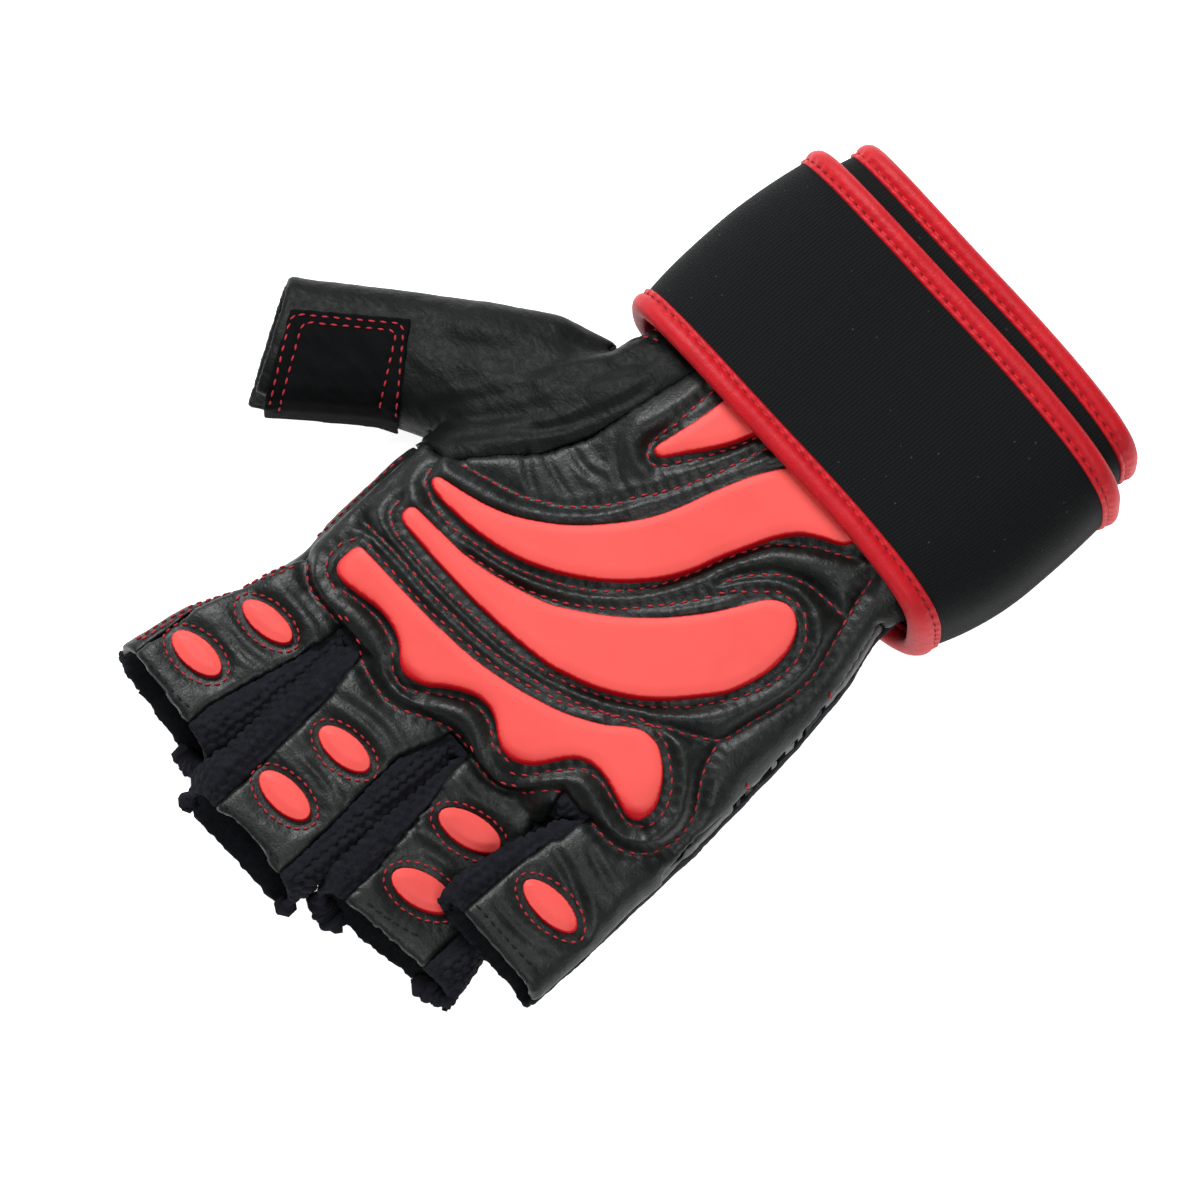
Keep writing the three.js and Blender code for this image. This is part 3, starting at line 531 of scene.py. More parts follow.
class Graph:
    """A small helper to write a material's nodes."""

    def __init__(self, name):
        self.material = bpy.data.materials.new(name)
        self.material.use_nodes = True
        self.tree = self.material.node_tree
        self.shader = self.tree.nodes["Principled BSDF"]
        self.place = self.node("ShaderNodeTexCoord").outputs["Object"]

    def node(self, kind, settings=None, **values):
        node = self.tree.nodes.new(kind)
        for key, value in (settings or {}).items():
            setattr(node, key, value)
        for key, value in values.items():
            self.put(node.inputs[key.replace("_", " ")], value)
        return node

    def put(self, socket, value):
        if isinstance(value, bpy.types.NodeSocket):
            self.tree.links.new(value, socket)
        else:
            socket.default_value = value

    def stretched(self, scale, turn):
        return self.node("ShaderNodeMapping", Vector=self.place, Scale=scale, Rotation=turn).outputs[0]

    def noise(self, scale, detail, rough, place=None):
        place = place or self.place
        node = self.node("ShaderNodeTexNoise", Vector=place, Scale=scale, Detail=detail, Roughness=rough)
        return node.outputs["Fac"]

    def warped(self, scale, amount):
        """The place, pushed about by a noise so that a pattern on it loses its regularity."""
        source = self.node("ShaderNodeTexNoise", Vector=self.place, Scale=scale, Detail=2.0)
        push = self.node("ShaderNodeVectorMath", {"operation": "SCALE"}, Scale=amount)
        total = self.node("ShaderNodeVectorMath", {"operation": "ADD"})
        self.put(push.inputs[0], source.outputs["Color"])
        self.put(total.inputs[0], self.place)
        self.put(total.inputs[1], push.outputs[0])
        return total.outputs[0]

    def cells(self, scale, place=None, feature="F1"):
        place = place or self.place
        node = self.node("ShaderNodeTexVoronoi", {"feature": feature}, Vector=place, Scale=scale)
        return node.outputs["Distance"]

    def ramp(self, value, low, high, start=0.0, end=1.0):
        return self.node("ShaderNodeMapRange", Value=value, From_Min=low, From_Max=high, To_Min=start,
                         To_Max=end).outputs[0]

    def mix(self, factor, first, second):
        node = self.node("ShaderNodeMix", {"data_type": "RGBA"})
        for socket, value in zip((0, 6, 7), (factor, first, second)):
            self.put(node.inputs[socket], value)
        return node.outputs[2]

    def math(self, operation, first, second=0.0):
        node = self.node("ShaderNodeMath", {"operation": operation})
        self.put(node.inputs[0], first)
        self.put(node.inputs[1], second)
        return node.outputs[0]

    def bumps(self, *layers):
        """Bumps one over the other, each with a height, a distance and a strength."""
        normal = None
        for height, distance, strength in layers:
            node = self.node("ShaderNodeBump", Height=height, Distance=distance, Strength=strength)
            if normal is not None:
                self.put(node.inputs["Normal"], normal)
            normal = node.outputs[0]
        return normal

    def finish(self, **values):
        for key, value in values.items():
            self.put(self.shader.inputs[key.replace("_", " ")], value)
        return self.material

    def dyed(self, tint, roughness, shine, normal):
        return self.finish(Base_Color=tint, Roughness=roughness, Specular_IOR_Level=shine, Normal=normal)


def colour(vector):
    return (vector[0], vector[1], vector[2], 1.0)


def scaled(vector, share):
    """A colour made lighter or darker."""
    return Vector(vector) * share


def leather_finish(name, tint, lighter, scale=1.0, roughness=(0.38, 0.52), shine=0.34, crumple=1.0):
    """Grained leather: small pebbles, fine creases and a lighter bloom where it is worn."""
    graph = Graph(name)
    folds = graph.noise(70 * scale, 3, 0.55, graph.stretched((1, 2.4, 1), (0, 0, 0.6)))
    edges = graph.cells(520 * scale, graph.warped(240 * scale, 0.0012), "DISTANCE_TO_EDGE")
    normal = graph.bumps(
        (folds, 0.0007 * crumple, 0.5),
        (graph.noise(200 * scale, 4, 0.55), 0.0002 * crumple, 0.5),
        (graph.ramp(edges, 0.0, 0.12), 0.000025, 0.6),
        (graph.cells(1500 * scale), 0.00006, 0.7),
        (graph.noise(2600 * scale, 3, 0.6), 0.00002, 0.7))
    bloom = graph.ramp(graph.noise(120 * scale, 5, 0.65), 0.38, 0.72)
    worn = graph.mix(bloom, colour(tint), colour(lighter))
    shade = graph.ramp(graph.noise(700 * scale, 3, 0.6), 0.3, 0.7, roughness[0], roughness[1])
    return graph.dyed(worn, shade, shine, normal)


def suede_finish(name, tint, lighter):
    """Brushed suede with a short nap."""
    graph = Graph(name)
    brushed = graph.ramp(graph.noise(160, 4, 0.6, graph.stretched((1, 3, 1), (0, 0, 0.8))), 0.4, 0.75)
    normal = graph.bumps((graph.noise(2200, 4, 0.7), 0.00008, 0.7), (graph.noise(140, 3, 0.5), 0.0005, 0.6))
    return graph.dyed(graph.mix(brushed, colour(tint), colour(lighter)), 0.8, 0.05, normal)


def rubber_finish(name, face, wall):
    """Moulded rubber with a cloudy matt face. Faces that point up get the bright red and the side walls a
    darker red, by the way they face: painted light on the tops and painted shade on the walls.
    """
    graph = Graph(name)
    upright = graph.node("ShaderNodeNewGeometry").outputs["Normal"]
    parts = graph.node("ShaderNodeSeparateXYZ", Vector=upright)
    # Share of the bright red by how far a face points up: painted light on the tops, painted shade on the
    # walls
    top = graph.ramp(parts.outputs["Z"], 0.72, 0.92)
    cloudy = graph.ramp(graph.noise(110, 4, 0.6), 0.35, 0.7)
    lit = graph.mix(cloudy, colour(face), colour(scaled(face, 0.93)))
    normal = graph.bumps((graph.noise(1500, 3, 0.6), 0.00003, 0.6), (graph.noise(80, 2, 0.5), 0.0004, 0.4))
    return graph.dyed(graph.mix(top, colour(wall), lit), 0.5, 0.2, normal)


def knit_finish(name, tint, lighter):
    """Fuzzy yarn."""
    graph = Graph(name)
    shade = graph.ramp(graph.noise(420, 4, 0.7), 0.35, 0.7)
    normal = graph.bumps((graph.cells(1300), 0.00012, 0.6), (graph.noise(3200, 3, 0.7), 0.00005, 0.6))
    return graph.dyed(graph.mix(shade, colour(tint), colour(lighter)), 0.95, 0.1, normal)


def weave_finish(name, tint, lighter):
    """Stretch cloth over foam, with fine ribs along one way. The ribs follow the piece's own map. Their
    valleys are painted darker and their crests lighter: painted shade and painted light.
    """
    graph = Graph(name)
    mapping = graph.node("ShaderNodeUVMap", {"uv_map": "strap"})
    parts = graph.node("ShaderNodeSeparateXYZ", Vector=mapping.outputs[0])
    across, along = WIND["width"] / RIB_PITCH * math.tau, WIND_LENGTH / RIB_LOOP * math.tau
    ribs = graph.math("SINE", graph.math("MULTIPLY", parts.outputs["Y"], across))
    steps = graph.math("SINE", graph.math("MULTIPLY", parts.outputs["X"], along))
    cloth = graph.math("ADD", graph.math("MULTIPLY", ribs, steps), ribs)
    normal = graph.bumps((graph.ramp(cloth, -2, 2), 0.0002, 0.9), (graph.noise(70, 3, 0.5), 0.0006, 0.5))
    # Dark tint in the rib valleys and the lighter one on their crests, from the bump's own pattern: painted
    # shade and painted light
    rib_painted_shade = graph.mix(graph.ramp(cloth, -1.5, 1.5), colour(scaled(tint, 0.45)), colour(lighter))
    lint = graph.ramp(graph.cells(260), 0.035, 0.06, 0.4, 0.0)
    return graph.dyed(graph.mix(lint, rib_painted_shade, (0.12, 0.12, 0.12, 1)), 0.72, 0.12, normal)


def cloth_finish(name, tint, lighter):
    """Fine stretch knit."""
    graph = Graph(name)
    rows = graph.node("ShaderNodeTexWave", Vector=graph.place, Scale=420, Distortion=1.5).outputs["Fac"]
    shade = graph.ramp(graph.noise(900, 3, 0.6), 0.35, 0.65)
    normal = graph.bumps((rows, 0.0001, 0.7), (graph.noise(120, 4, 0.6), 0.0006, 0.6))
    return graph.dyed(graph.mix(shade, colour(tint), colour(lighter)), 0.85, 0.12, normal)


def thread_finish(name, tint):
    """Twisted thread, painted darker where the twist's bump is low: painted shade in the twist."""
    graph = Graph(name)
    twist = graph.noise(2400, 2, 0.5)
    # Darker where the twist sinks: painted shade
    shade = graph.mix(graph.ramp(twist, 0.35, 0.65), colour(scaled(tint, 0.72)), colour(tint))
    return graph.dyed(shade, 0.7, 0.3, graph.bumps((twist, 0.00006, 0.8)))


def material(name):
    """The glove's finishes by name, each made once."""
    if name in bpy.data.materials:
        return bpy.data.materials[name]
    tints = bpy.context.scene.glove_colours
    black, worn = tints.leather, tints.leather_worn
    makers = {
        "black_leather": lambda: leather_finish(name, black, worn),
        # The black leather with its lighter tint scaled down to 0.4: painted shade where the light falls
        # off on the thumb. It is also less shiny and more creased
        "shaded_thumb_leather": lambda: leather_finish(
            name, black, scaled(worn, 0.4), roughness=(0.46, 0.6), shine=0.13, crumple=2.2),
        "red_leather": lambda: leather_finish(
            name, tints.binding, scaled(tints.binding, 1.2), scale=1.3, roughness=(0.44, 0.56), shine=0.26,
            crumple=0.8),
        "thumb_suede": lambda: suede_finish(name, tints.suede, scaled(tints.suede, 1.7)),
        "insert_rubber": lambda: rubber_finish(name, tints.rubber, tints.rubber_wall_painted_shade),
        "gusset_knit": lambda: knit_finish(name, tints.knit, scaled(tints.knit, 1.9)),
        "wrap_neoprene": lambda: weave_finish(name, tints.neoprene, scaled(tints.neoprene, 1.5)),
        "stretch_cloth": lambda: cloth_finish(name, tints.stretch, scaled(tints.stretch, 1.6)),
        "red_thread": lambda: thread_finish(name, tints.thread),
        "dark_red_thread": lambda: thread_finish(name, tints.dark_thread),
        "black_thread": lambda: thread_finish(name, tints.hem_thread),
    }
    return makers[name]()


# Leather

def palm_lines(ground):
    """All seams of the palm on its leather, as lists of points in metres."""
    lift = bpy.context.scene.glove_sizes.quilt_height / MM
    lines = [plan_line(ground, row, PALM_PLANE, lift=lift) for row in PALM_ROWS]
    return lines + [plan_line(ground, row, FINGER_PLANE, lift=FINGER_LIFT) for row in FINGER_ROWS]


def oval_lines(ground):
    """The stitch rings round the oval pads."""
    lines = []
    for name in OVALS:
        ring = smooth_path(oval_ring(name, RING_MARGIN), ROW_STEP, True)
        places = [(point + PLAN_ORIGIN) * MM for point in ring]
        hits = [drop(ground, place.x, place.y)[0] for place in places]
        lines.append([hit for hit in hits if hit is not None])
    return lines


def crease_lines(ground):
    """The folds laid on the leather, each with its depth and width. One that misses it is left out."""
    laid = [(plan_line(ground, points, plane, CREASE_STEP), depth, width)
            for plane, depth, width, points in CREASES]
    return [fold for fold in laid if len(fold[0]) > 2]


# Forms of the leather's relief, in mm. A row of stitches sinks in a groove and puckers beside it
SEAM_FORM = {"groove": 0.25, "width": 0.7, "pucker": 0.13, "aside": 1.5, "spread": 1.3}
RING_FORM = {"groove": 0.55, "width": 1.1, "pucker": 0.06, "aside": 1.4, "spread": 1.3}
QUILT_FALL = {"from": 6, "to": 14, "share": 0.45}
PAD_RISE = {"height": 1.5, "from": 3.5, "to": 8.5}
CHANNEL = {"depth": 1.5, "width": 1.2}
FOLD_BANK = {"share": 0.5, "aside": 1.8}
ROUGH = {"height": 0.2, "scale": 110}
GRAIN = {"height": 0.02, "scale": 420}
RIM_ROLL = {"depth": 0.35, "width": 0.9}
OVAL_SEAT = {"from": 0.4, "to": 2.4, "depth": 0.12}


def stitched(form, far, turn):
    """The height beside a row of stitches, at a turn of its pucker."""
    pucker = form["pucker"] * math.cos(turn) * bell(far - form["aside"], form["spread"])
    return pucker - form["groove"] * bell(far, form["width"])


def relief(piece, reach, seams, rings, creases, inserts, quilt):
    """Raises the outer leather between its seams, and folds and wrinkles it."""
    sizes = bpy.context.scene.glove_sizes
    seam_tree, seam_at = kd_of(seams)
    ring_tree, ring_at = kd_of(rings)
    folds = [(kd_of([line])[0], depth, width, len(line)) for line, depth, width in creases]
    pitch = sizes.stitch_pitch
    ovals = tree_from(merged_copy([f"oval_{name}" for name in OVALS]))

    def height_of(vertex):
        outward = step(-0.1, 0.35, vertex.normal.z)
        if outward <= 0:
            return 0.0
        place = vertex.co
        _, index, far = seam_tree.find(place)
        far /= MM
        fall = 1 - step(QUILT_FALL["from"], QUILT_FALL["to"], far) * QUILT_FALL["share"]
        turn = math.tau * seam_at[index] / pitch + 1.3 * noise.noise(place * 300)
        height = quilt * (1 - bell(far, sizes.quilt_width)) * fall + stitched(SEAM_FORM, far, turn)
        if rings:
            _, index, far = ring_tree.find(place)
            height += stitched(RING_FORM, far / MM, math.tau * ring_at[index] / (pitch * 0.8))
        near = inserts.find_nearest(place, 0.012)[3] if inserts is not None else None
        if near is not None:
            far = near / MM
            height += PAD_RISE["height"] * (1 - step(PAD_RISE["from"], PAD_RISE["to"], far))
            height -= CHANNEL["depth"] * bell(far, CHANNEL["width"])
        for tree, depth, width, count in folds:
            _, index, far = tree.find(place)
            far /= MM
            if far < width * 3:
                fade = depth * math.sin(math.pi * (index + 0.5) / count) ** 0.5
                bank = FOLD_BANK["share"] * bell(far - width * FOLD_BANK["aside"], width)
                height += fade * (bank - bell(far, width))
        height += ROUGH["height"] * noise.fractal(place * ROUGH["scale"], 0.7, 2.1, 3)
        height += GRAIN["height"] * noise.fractal(place * GRAIN["scale"] + Vector((3, 1, 7)), 0.8, 2.0, 2)
        height -= RIM_ROLL["depth"] * bell(reach[vertex.index], RIM_ROLL["width"])
        near = ovals.find_nearest(place, 0.004)[3] if rings else None
        if near is not None:
            height = height * step(OVAL_SEAT["from"], OVAL_SEAT["to"], near / MM) - OVAL_SEAT["depth"]
        return height * outward

    displace(piece, height_of)
    smoothed(piece, 1, factor=0.4)


class GLOVE_OT_palm(bpy.types.Operator):
    """Builds the quilted leather palm with the palm sides of the fingers"""
    bl_idname = "glove.palm"
    bl_label = "Palm leather"

    def execute(self, context):
        sizes = context.scene.glove_sizes
        piece, reach = soften("palm_leather", "palm_panel", sizes.leather_grid / MM, LEATHER_PASSES)
        ground = GROUNDS["palm"] = tree_of(piece.data)
        inserts = tree_from(merged_copy([f"insert_{name}" for name in INSERT_OUTLINES]))
        relief(piece, reach, palm_lines(ground), oval_lines(ground), crease_lines(ground), inserts,
               sizes.quilt_height / MM)
        dress(piece, material("black_leather"),
              ["palm_panel", "pad_thenar", "pad_heel", "pad_palm", "pad_knuckle"])
        GROUNDS["palm_top"] = tree_of(piece.data)
        return {"FINISHED"}


class GLOVE_OT_thumb(bpy.types.Operator):
    """Builds the creased leather of the thumb and its suede patch"""
    bl_idname = "glove.thumb"
    bl_label = "Thumb leather and patch"

    def execute(self, context):
        sizes = context.scene.glove_sizes
        piece, reach = soften("shaded_thumb_leather", "thumb_sleeve", sizes.leather_grid / MM, LEATHER_PASSES)
        ground = tree_of(piece.data)
        lines = [plan_line(ground, row, THUMB_PLANE) for row in ROOT_ROWS]
        relief(piece, reach, lines, [], crease_lines(ground), None, THUMB_QUILT)
        # The thumb gets the darker copy of the black leather: painted shade
        dress(piece, material("shaded_thumb_leather"), ["thumb_sleeve"])
        patch, _ = soften("thumb_patch_suede", "thumb_patch", 0.5, 8, rim=(0.2, 1.5))
        slant(patch)
        rows, _ = kd_of(patch_lines(tree_of(patch.data)))

        def pressed(vertex):
            far = rows.find(vertex.co)[2] / MM
            return -PATCH_GROOVE["depth"] * bell(far, PATCH_GROOVE["width"])

        displace(patch, pressed)
        dress(patch, material("thumb_suede"), ["thumb_patch"])
        GROUNDS["thumb_top"] = tree_of(piece.data)
        GROUNDS["patch_top"] = tree_of(patch.data)
        return {"FINISHED"}


def slant(patch):
    """Turns the patch's cuff side to follow the slanted cuff of the thumb."""
    for vertex in patch.data.vertices:
        reach = vertex.co.xy / MM - PLAN_ORIGIN - THUMB_ROOT
        along, across = reach.dot(THUMB_WAY), THUMB_WAY.cross(reach)
        shift = CUFF_SLANT * across * step(SLANT_FROM, SLANT_TO, along)
        vertex.co.xy += THUMB_WAY * shift * MM


class GLOVE_OT_sides(bpy.types.Operator):
    """Builds the leather strips along both sides, the stretch breaks and the back of the hand"""
    bl_idname = "glove.sides"
    bl_label = "Side strips and back"

    def execute(self, context):
        for name, (node, voxel, passes, finish, slot) in SIDES.items():
            edge = BACK_EDGE if node == "back_panel" else STRIP_EDGE
            piece, reach = soften(name, node, voxel, passes, rim=edge["rim"])

            def ripple(vertex, reach=reach, edge=edge):
                far = reach[vertex.index]
                nap = edge["nap"] * (1 - step(1, 5, far))
                rough = 0.15 * noise.fractal(vertex.co * 200, 0.6, 2.1, 3)
                rough += nap * noise.noise(vertex.co * 700)
                return rough + edge["roll"] * bell(far, 0.8) * step(-0.2, 0.4, vertex.normal.z)

            displace(piece, ripple)
            dress(piece, material(finish), [node])
        return {"FINISHED"}


class GLOVE_OT_gussets(bpy.types.Operator):
    """Builds the chunky knit walls between the fingers"""
    bl_idname = "glove.gussets"
    bl_label = "Knit gussets"

    def execute(self, context):
        sizes = context.scene.glove_sizes
        loop, height = sizes.knit_loop, sizes.knit_height / MM
        for node in ("gusset_index_middle", "gusset_middle_ring", "gusset_ring_little"):
            piece, reach = soften(node.replace("gusset", "knit"), node, KNIT["voxel"], KNIT["passes"])
            top = max(vertex.co.z for vertex in piece.data.vertices)

            def loops(vertex):
                """Rows of round loops that run along the finger and turn down its sides"""
                place, normal, rim = vertex.co, vertex.normal, reach[vertex.index]
                sway = KNIT["sway"] * noise.noise(place * 260)
                round_side = place.x + (top - place.z) * math.copysign(1, normal.x)
                across = round_side / (loop * KNIT["row_pitch"]) + sway
                row = round(across)
                slip = KNIT["sway"] * noise.noise(place * 200 + Vector((5, 0, 0)))
                along = place.y / loop + 0.5 * (row % 2) + slip
                far = math.hypot((along - round(along)) * 1.05, (across - row) * 0.95)
                bead = math.sqrt(max(0.0, 1 - (far / KNIT["bead"]) ** 2))
                puff = KNIT["puff"] * step(0.3, 4.5, rim) * step(-0.5, 0.1, normal.z)
                return bead * height * (0.3 + 0.7 * step(0.3, 2.5, rim)) + puff

            displace(piece, loops)
            dress(piece, material("gusset_knit"), [node])
        return {"FINISHED"}


# Rubber

def rubber_pad(name, outline, height, voxel, dome):
    """A moulded pad: an outline raised from the leather, with its top edge rounded off."""
    ground = GROUNDS["palm"]
    bm = bmesh.new()
    face = bm.faces.new([bm.verts.new((x, y, -PAD_ROOT)) for x, y in outline])
    raised = bmesh.ops.extrude_face_region(bm, geom=[face])["geom"]
    top = [item for item in raised if isinstance(item, bmesh.types.BMVert)]
    bmesh.ops.translate(bm, verts=top, vec=(0, 0, height + PAD_ROOT))
    bmesh.ops.recalc_face_normals(bm, faces=bm.faces)
    piece = remeshed(f"rubber_{name}", bm, voxel)
    smoothed(piece, PAD_PASSES)
    vertices = piece.data.vertices
    middle = sum((vertex.co for vertex in vertices), Vector()) / len(vertices)
    edge = kd_of([[Vector((x, y, 0)) for x, y in outline]])[0]
    for vertex in vertices:
        x, y = vertex.co.xy
        hit = drop(ground, x, y)[0]
        if hit is None:
            hit = ground.find_nearest(Vector((x, y, middle.z)))[0]
        inset = edge.find(Vector((x, y, 0)))[2] / MM
        crown = dome * step(0.0, DOME_REACH, inset) if vertex.co.z > 0 else 0.0
        vertex.co.z += hit.z + crown * MM
    piece.data.update()
    return piece


class GLOVE_OT_inserts(bpy.types.Operator):
    """Builds the red rubber inserts of the palm"""
    bl_idname = "glove.inserts"
    bl_label = "Rubber inserts"

    def execute(self, context):
        height = context.scene.glove_sizes.insert_height
        for name, points in INSERT_OUTLINES.items():
            path = smooth_path(points, INSERT_STEP, True)
            hits = [sight_hit(GROUNDS["palm"], point, PALM_PLANE, height / MM) for point in path]
            outline = [(hit.x, hit.y) for hit in hits if hit is not None]
            piece = rubber_pad(name, outline, height, voxel=0.45, dome=0.35)
            dress(piece, material("insert_rubber"), [f"insert_{name}"])
        return {"FINISHED"}


class GLOVE_OT_ovals(bpy.types.Operator):
    """Builds the small oval pads on the fingers"""
    bl_idname = "glove.ovals"
    bl_label = "Oval pads"

    def execute(self, context):
        for name in OVALS:
            ring = smooth_path(oval_ring(name, 0), ROW_STEP, True)
            outline = [tuple((point + PLAN_ORIGIN) * MM) for point in ring]
            height = context.scene.glove_sizes.oval_height
            piece = rubber_pad(name, outline, height, voxel=0.3, dome=0.5)
            dress(piece, material("insert_rubber"), [f"oval_{name}"])
        return {"FINISHED"}


# The wrist wrap. All its sizes are in mm

WIND = {
    "width": 52.4, "thick": 2.4, "pitch": 4.0, "lead": 9.5, "turns": 2.14, "middle": 1.5, "power": 0.62,
    "half_width": 45.2, "half_height": 12.2,
    "centre_x": 11.6 + PLAN_ORIGIN.x, "front_y": 42.5 + PLAN_ORIGIN.y,
}
WIND_LENGTH = 540
RIB_PITCH = 0.55
RIB_LOOP = 0.9

# How far the wrap's sides are drawn in at its front and rear: where it begins, over what
# length, and by how much on the thumb's side and on the little finger's
PINCHES = [
    {"from": 67.5, "reach": -27.0, "thumb": 2.5, "little": 6.0},
    {"from": 70.0, "reach": 35.0, "thumb": 4.5, "little": 1.8},
]

# The band's crown and waves, and how far its edges stay back inside the bindings
BAND = {"columns": 40, "spacing": 1.6, "inset": 0.6, "crown": 0.35, "wave": 0.22}

# The folded binding: distance out of the strap's face and behind its edge
BINDING_PROFILE = [
    (1.22, 4.25), (1.6, 4.2), (1.86, 3.95), (1.92, 3.6), (1.84, 3.25), (1.55, 2.95), (1.8, 2.65),
    (2.2, 2.2), (2.46, 1.7), (2.55, 1.1), (2.5, 0.5), (2.3, -0.1), (1.9, -0.7), (1.2, -1.1), (0.45, -1.3),
]
BINDING_SPACING = 0.66
GROOVE_BACK = 2.95
GROOVE_OUT = 1.62
BINDING_LUMP = 0.2


def squared(value, power):
    """A cosine or sine bent so that the round that it draws gets flatter sides."""
    return math.copysign(abs(value) ** power, value)


def wind_point(turns, out, back):
    """A point on the winding: turns along it, out of its face and behind its front edge."""
    def station(at):
        angle = -math.pi / 2 - math.tau * at
        spread = WIND["pitch"] * at
        centre_z = WIND["half_height"] + WIND["turns"] * WIND["pitch"] + WIND["thick"]
        return Vector((
            WIND["centre_x"] + (WIND["half_width"] + spread) * squared(math.cos(angle), WIND["power"]),
            centre_z + (WIND["half_height"] + spread) * squared(math.sin(angle), WIND["power"])))
    nudge = 0.006
    way = (station(turns + nudge) - station(turns - nudge)).normalized()
    place = station(turns)
    along = WIND["front_y"] + WIND["lead"] * (WIND["middle"] - turns) + back
    side = -math.sin(math.tau * turns)
    drawn = 0.0
    for pinch in PINCHES:
        share = max(0.0, (along - PLAN_ORIGIN.y - pinch["from"]) / pinch["reach"])
        drawn += share * share * pinch["little" if side > 0 else "thumb"] * side
    return Vector((place.x - way.y * out - drawn, along, place.y + way.x * out)) * MM


def wind_stations(spacing, back=0.0, count=3000):
    """Even steps along the winding's length, each with its distance and its turns."""
    table = []
    length = 0.0
    before = None
    for i in range(count + 1):
        turns = WIND["turns"] * i / count
        place = wind_point(turns, WIND["thick"] / 2, back)
        if before is not None:
            length += (place - before).length / MM
        table.append((length, turns))
        before = place
    steps = round(length / spacing)
    stations = []
    j = 0
    for i in range(steps + 1):
        at = length * i / steps
        while j < len(table) - 2 and table[j + 1][0] < at:
            j += 1
        low, high = table[j], table[j + 1]
        share = (at - low[0]) / (high[0] - low[0]) if high[0] > low[0] else 0
        stations.append((at, low[1] + (high[1] - low[1]) * share))
    return stations


def wound(name, profile, stations, finish, node):
    """Rolls a grid into a closed profile that follows the winding."""
    rings = [profile(at) for at, _ in stations]
    columns, rows = len(stations) - 1, len(rings[0])
    bm = bmesh.new()
    bmesh.ops.create_grid(bm, x_segments=columns, y_segments=rows, size=1)
    layer = bm.loops.layers.uv.new("strap")
    places = {}
    for vertex in bm.verts:
        u = round((vertex.co.x + 1) / 2 * columns)
        v = round((vertex.co.y + 1) / 2 * rows)
        places[vertex] = (u, v)
    for vertex, (u, v) in places.items():
        out, back = rings[u][v % rows]
        vertex.co = wind_point(stations[u][1], out, back)
    for face in bm.faces:
        for loop in face.loops:
            u, v = places[loop.vert]
            loop[layer].uv = (u / columns, rings[u][v % rows][1] / WIND["width"])
    bmesh.ops.remove_doubles(bm, verts=bm.verts, dist=MERGE)
    ends = [edge for edge in bm.edges if len(edge.link_faces) == 1]
    bmesh.ops.holes_fill(bm, edges=ends, sides=0)
    bmesh.ops.recalc_face_normals(bm, faces=bm.faces)
    new_piece(name, bm, material(finish), [node])


class GLOVE_OT_wrap(bpy.types.Operator):
    """Builds the neoprene wrist wrap, wound a little over two turns"""
    bl_idname = "glove.wrap"
    bl_label = "Wrist wrap"

    def execute(self, context):
        def profile(at):
            ring = []
            for side in (1, -1):
                for i in range(BAND["columns"] + 1):
                    share = i / BAND["columns"] if side > 0 else 1 - i / BAND["columns"]
                    back = BAND["inset"] + (WIND["width"] - 2 * BAND["inset"]) * share
                    bulge = math.sin(math.pi * share)
                    crown = BAND["crown"] * bulge ** 0.6 if side > 0 else 0
                    wave = BAND["wave"] * noise.noise(Vector((at * 0.03, back * 0.06, side * 3.0))) * bulge
                    ring.append((side * WIND["thick"] / 2 + crown + wave, back))
            return ring

        stations = wind_stations(BAND["spacing"], WIND["width"] / 2)
        wound("wrap_neoprene_band", profile, stations, "wrap_neoprene", "wrist_strap")
        tab, _ = soften("closure_tab_neoprene", "closure_tab", 0.45, 4, rim=(0.2, 1))
        dress(tab, material("stretch_cloth"), ["closure_tab"])
        return {"FINISHED"}


class GLOVE_OT_bindings(bpy.types.Operator):
    """Builds the red leather bindings of the wrap, with their dark stitches"""
    bl_idname = "glove.bindings"
    bl_label = "Wrap bindings"

    def execute(self, context):
        sizes = context.scene.glove_sizes
        pitch = sizes.binding_pitch / MM
        for end in ("front", "rear"):
            rear = end == "rear"
            edge = WIND["width"] if rear else 0.0

            def profile(at, edge=edge, rear=rear):
                ring = []
                for side in (1, -1):
                    for out, back in BINDING_PROFILE[::side]:
                        bite = math.cos(math.tau * at / pitch) * bell(back - GROOVE_BACK, 1.0)
                        lump = noise.noise(Vector((at * 0.11, back * 0.25, 5 if rear else 9)))
                        puff = BINDING_LUMP * (lump + bite) * step(1.0, 1.9, out)
                        ring.append((side * (out + puff), edge - back if rear else back))
                return ring

            wound(f"binding_{end}", profile, wind_stations(BINDING_SPACING, edge), "red_leather",
                  f"strap_binding_{end}")
            bm = bmesh.new()
            row = bmesh.new()
            back = edge - GROOVE_BACK if rear else GROOVE_BACK
            for count, (_, turns) in enumerate(wind_stations(pitch, edge)):
                if turns < END_GAP or turns > WIND["turns"] - END_GAP:
                    continue
                if count % 50 == 0:
                    gather(bm, row)
                    row = bmesh.new()
                here = wind_point(turns, GROOVE_OUT, back)
                ahead = wind_point(turns + 0.001, GROOVE_OUT, back)
                out = (wind_point(turns, 2.9, back) - here).normalized()
                add_stitch(row, here, (ahead - here).normalized(), out, sizes.stitch_length * 0.92,
                           sizes.thread_radius * 0.95)
            gather(bm, row)
            new_piece(f"stitches_binding_{end}", bm, material("dark_red_thread"))
        return {"FINISHED"}


# Stitches. Pitches are in mm, and reaches in metres

END_GAP = 0.01
STITCH_REACH = 0.006
STITCH_SWING = 0.16
STITCH_VARIES = (0.92, 1.06)
OVAL_PITCH, SIDE_PITCH, HEM_PITCH = 2.0, 2.3, 2.4


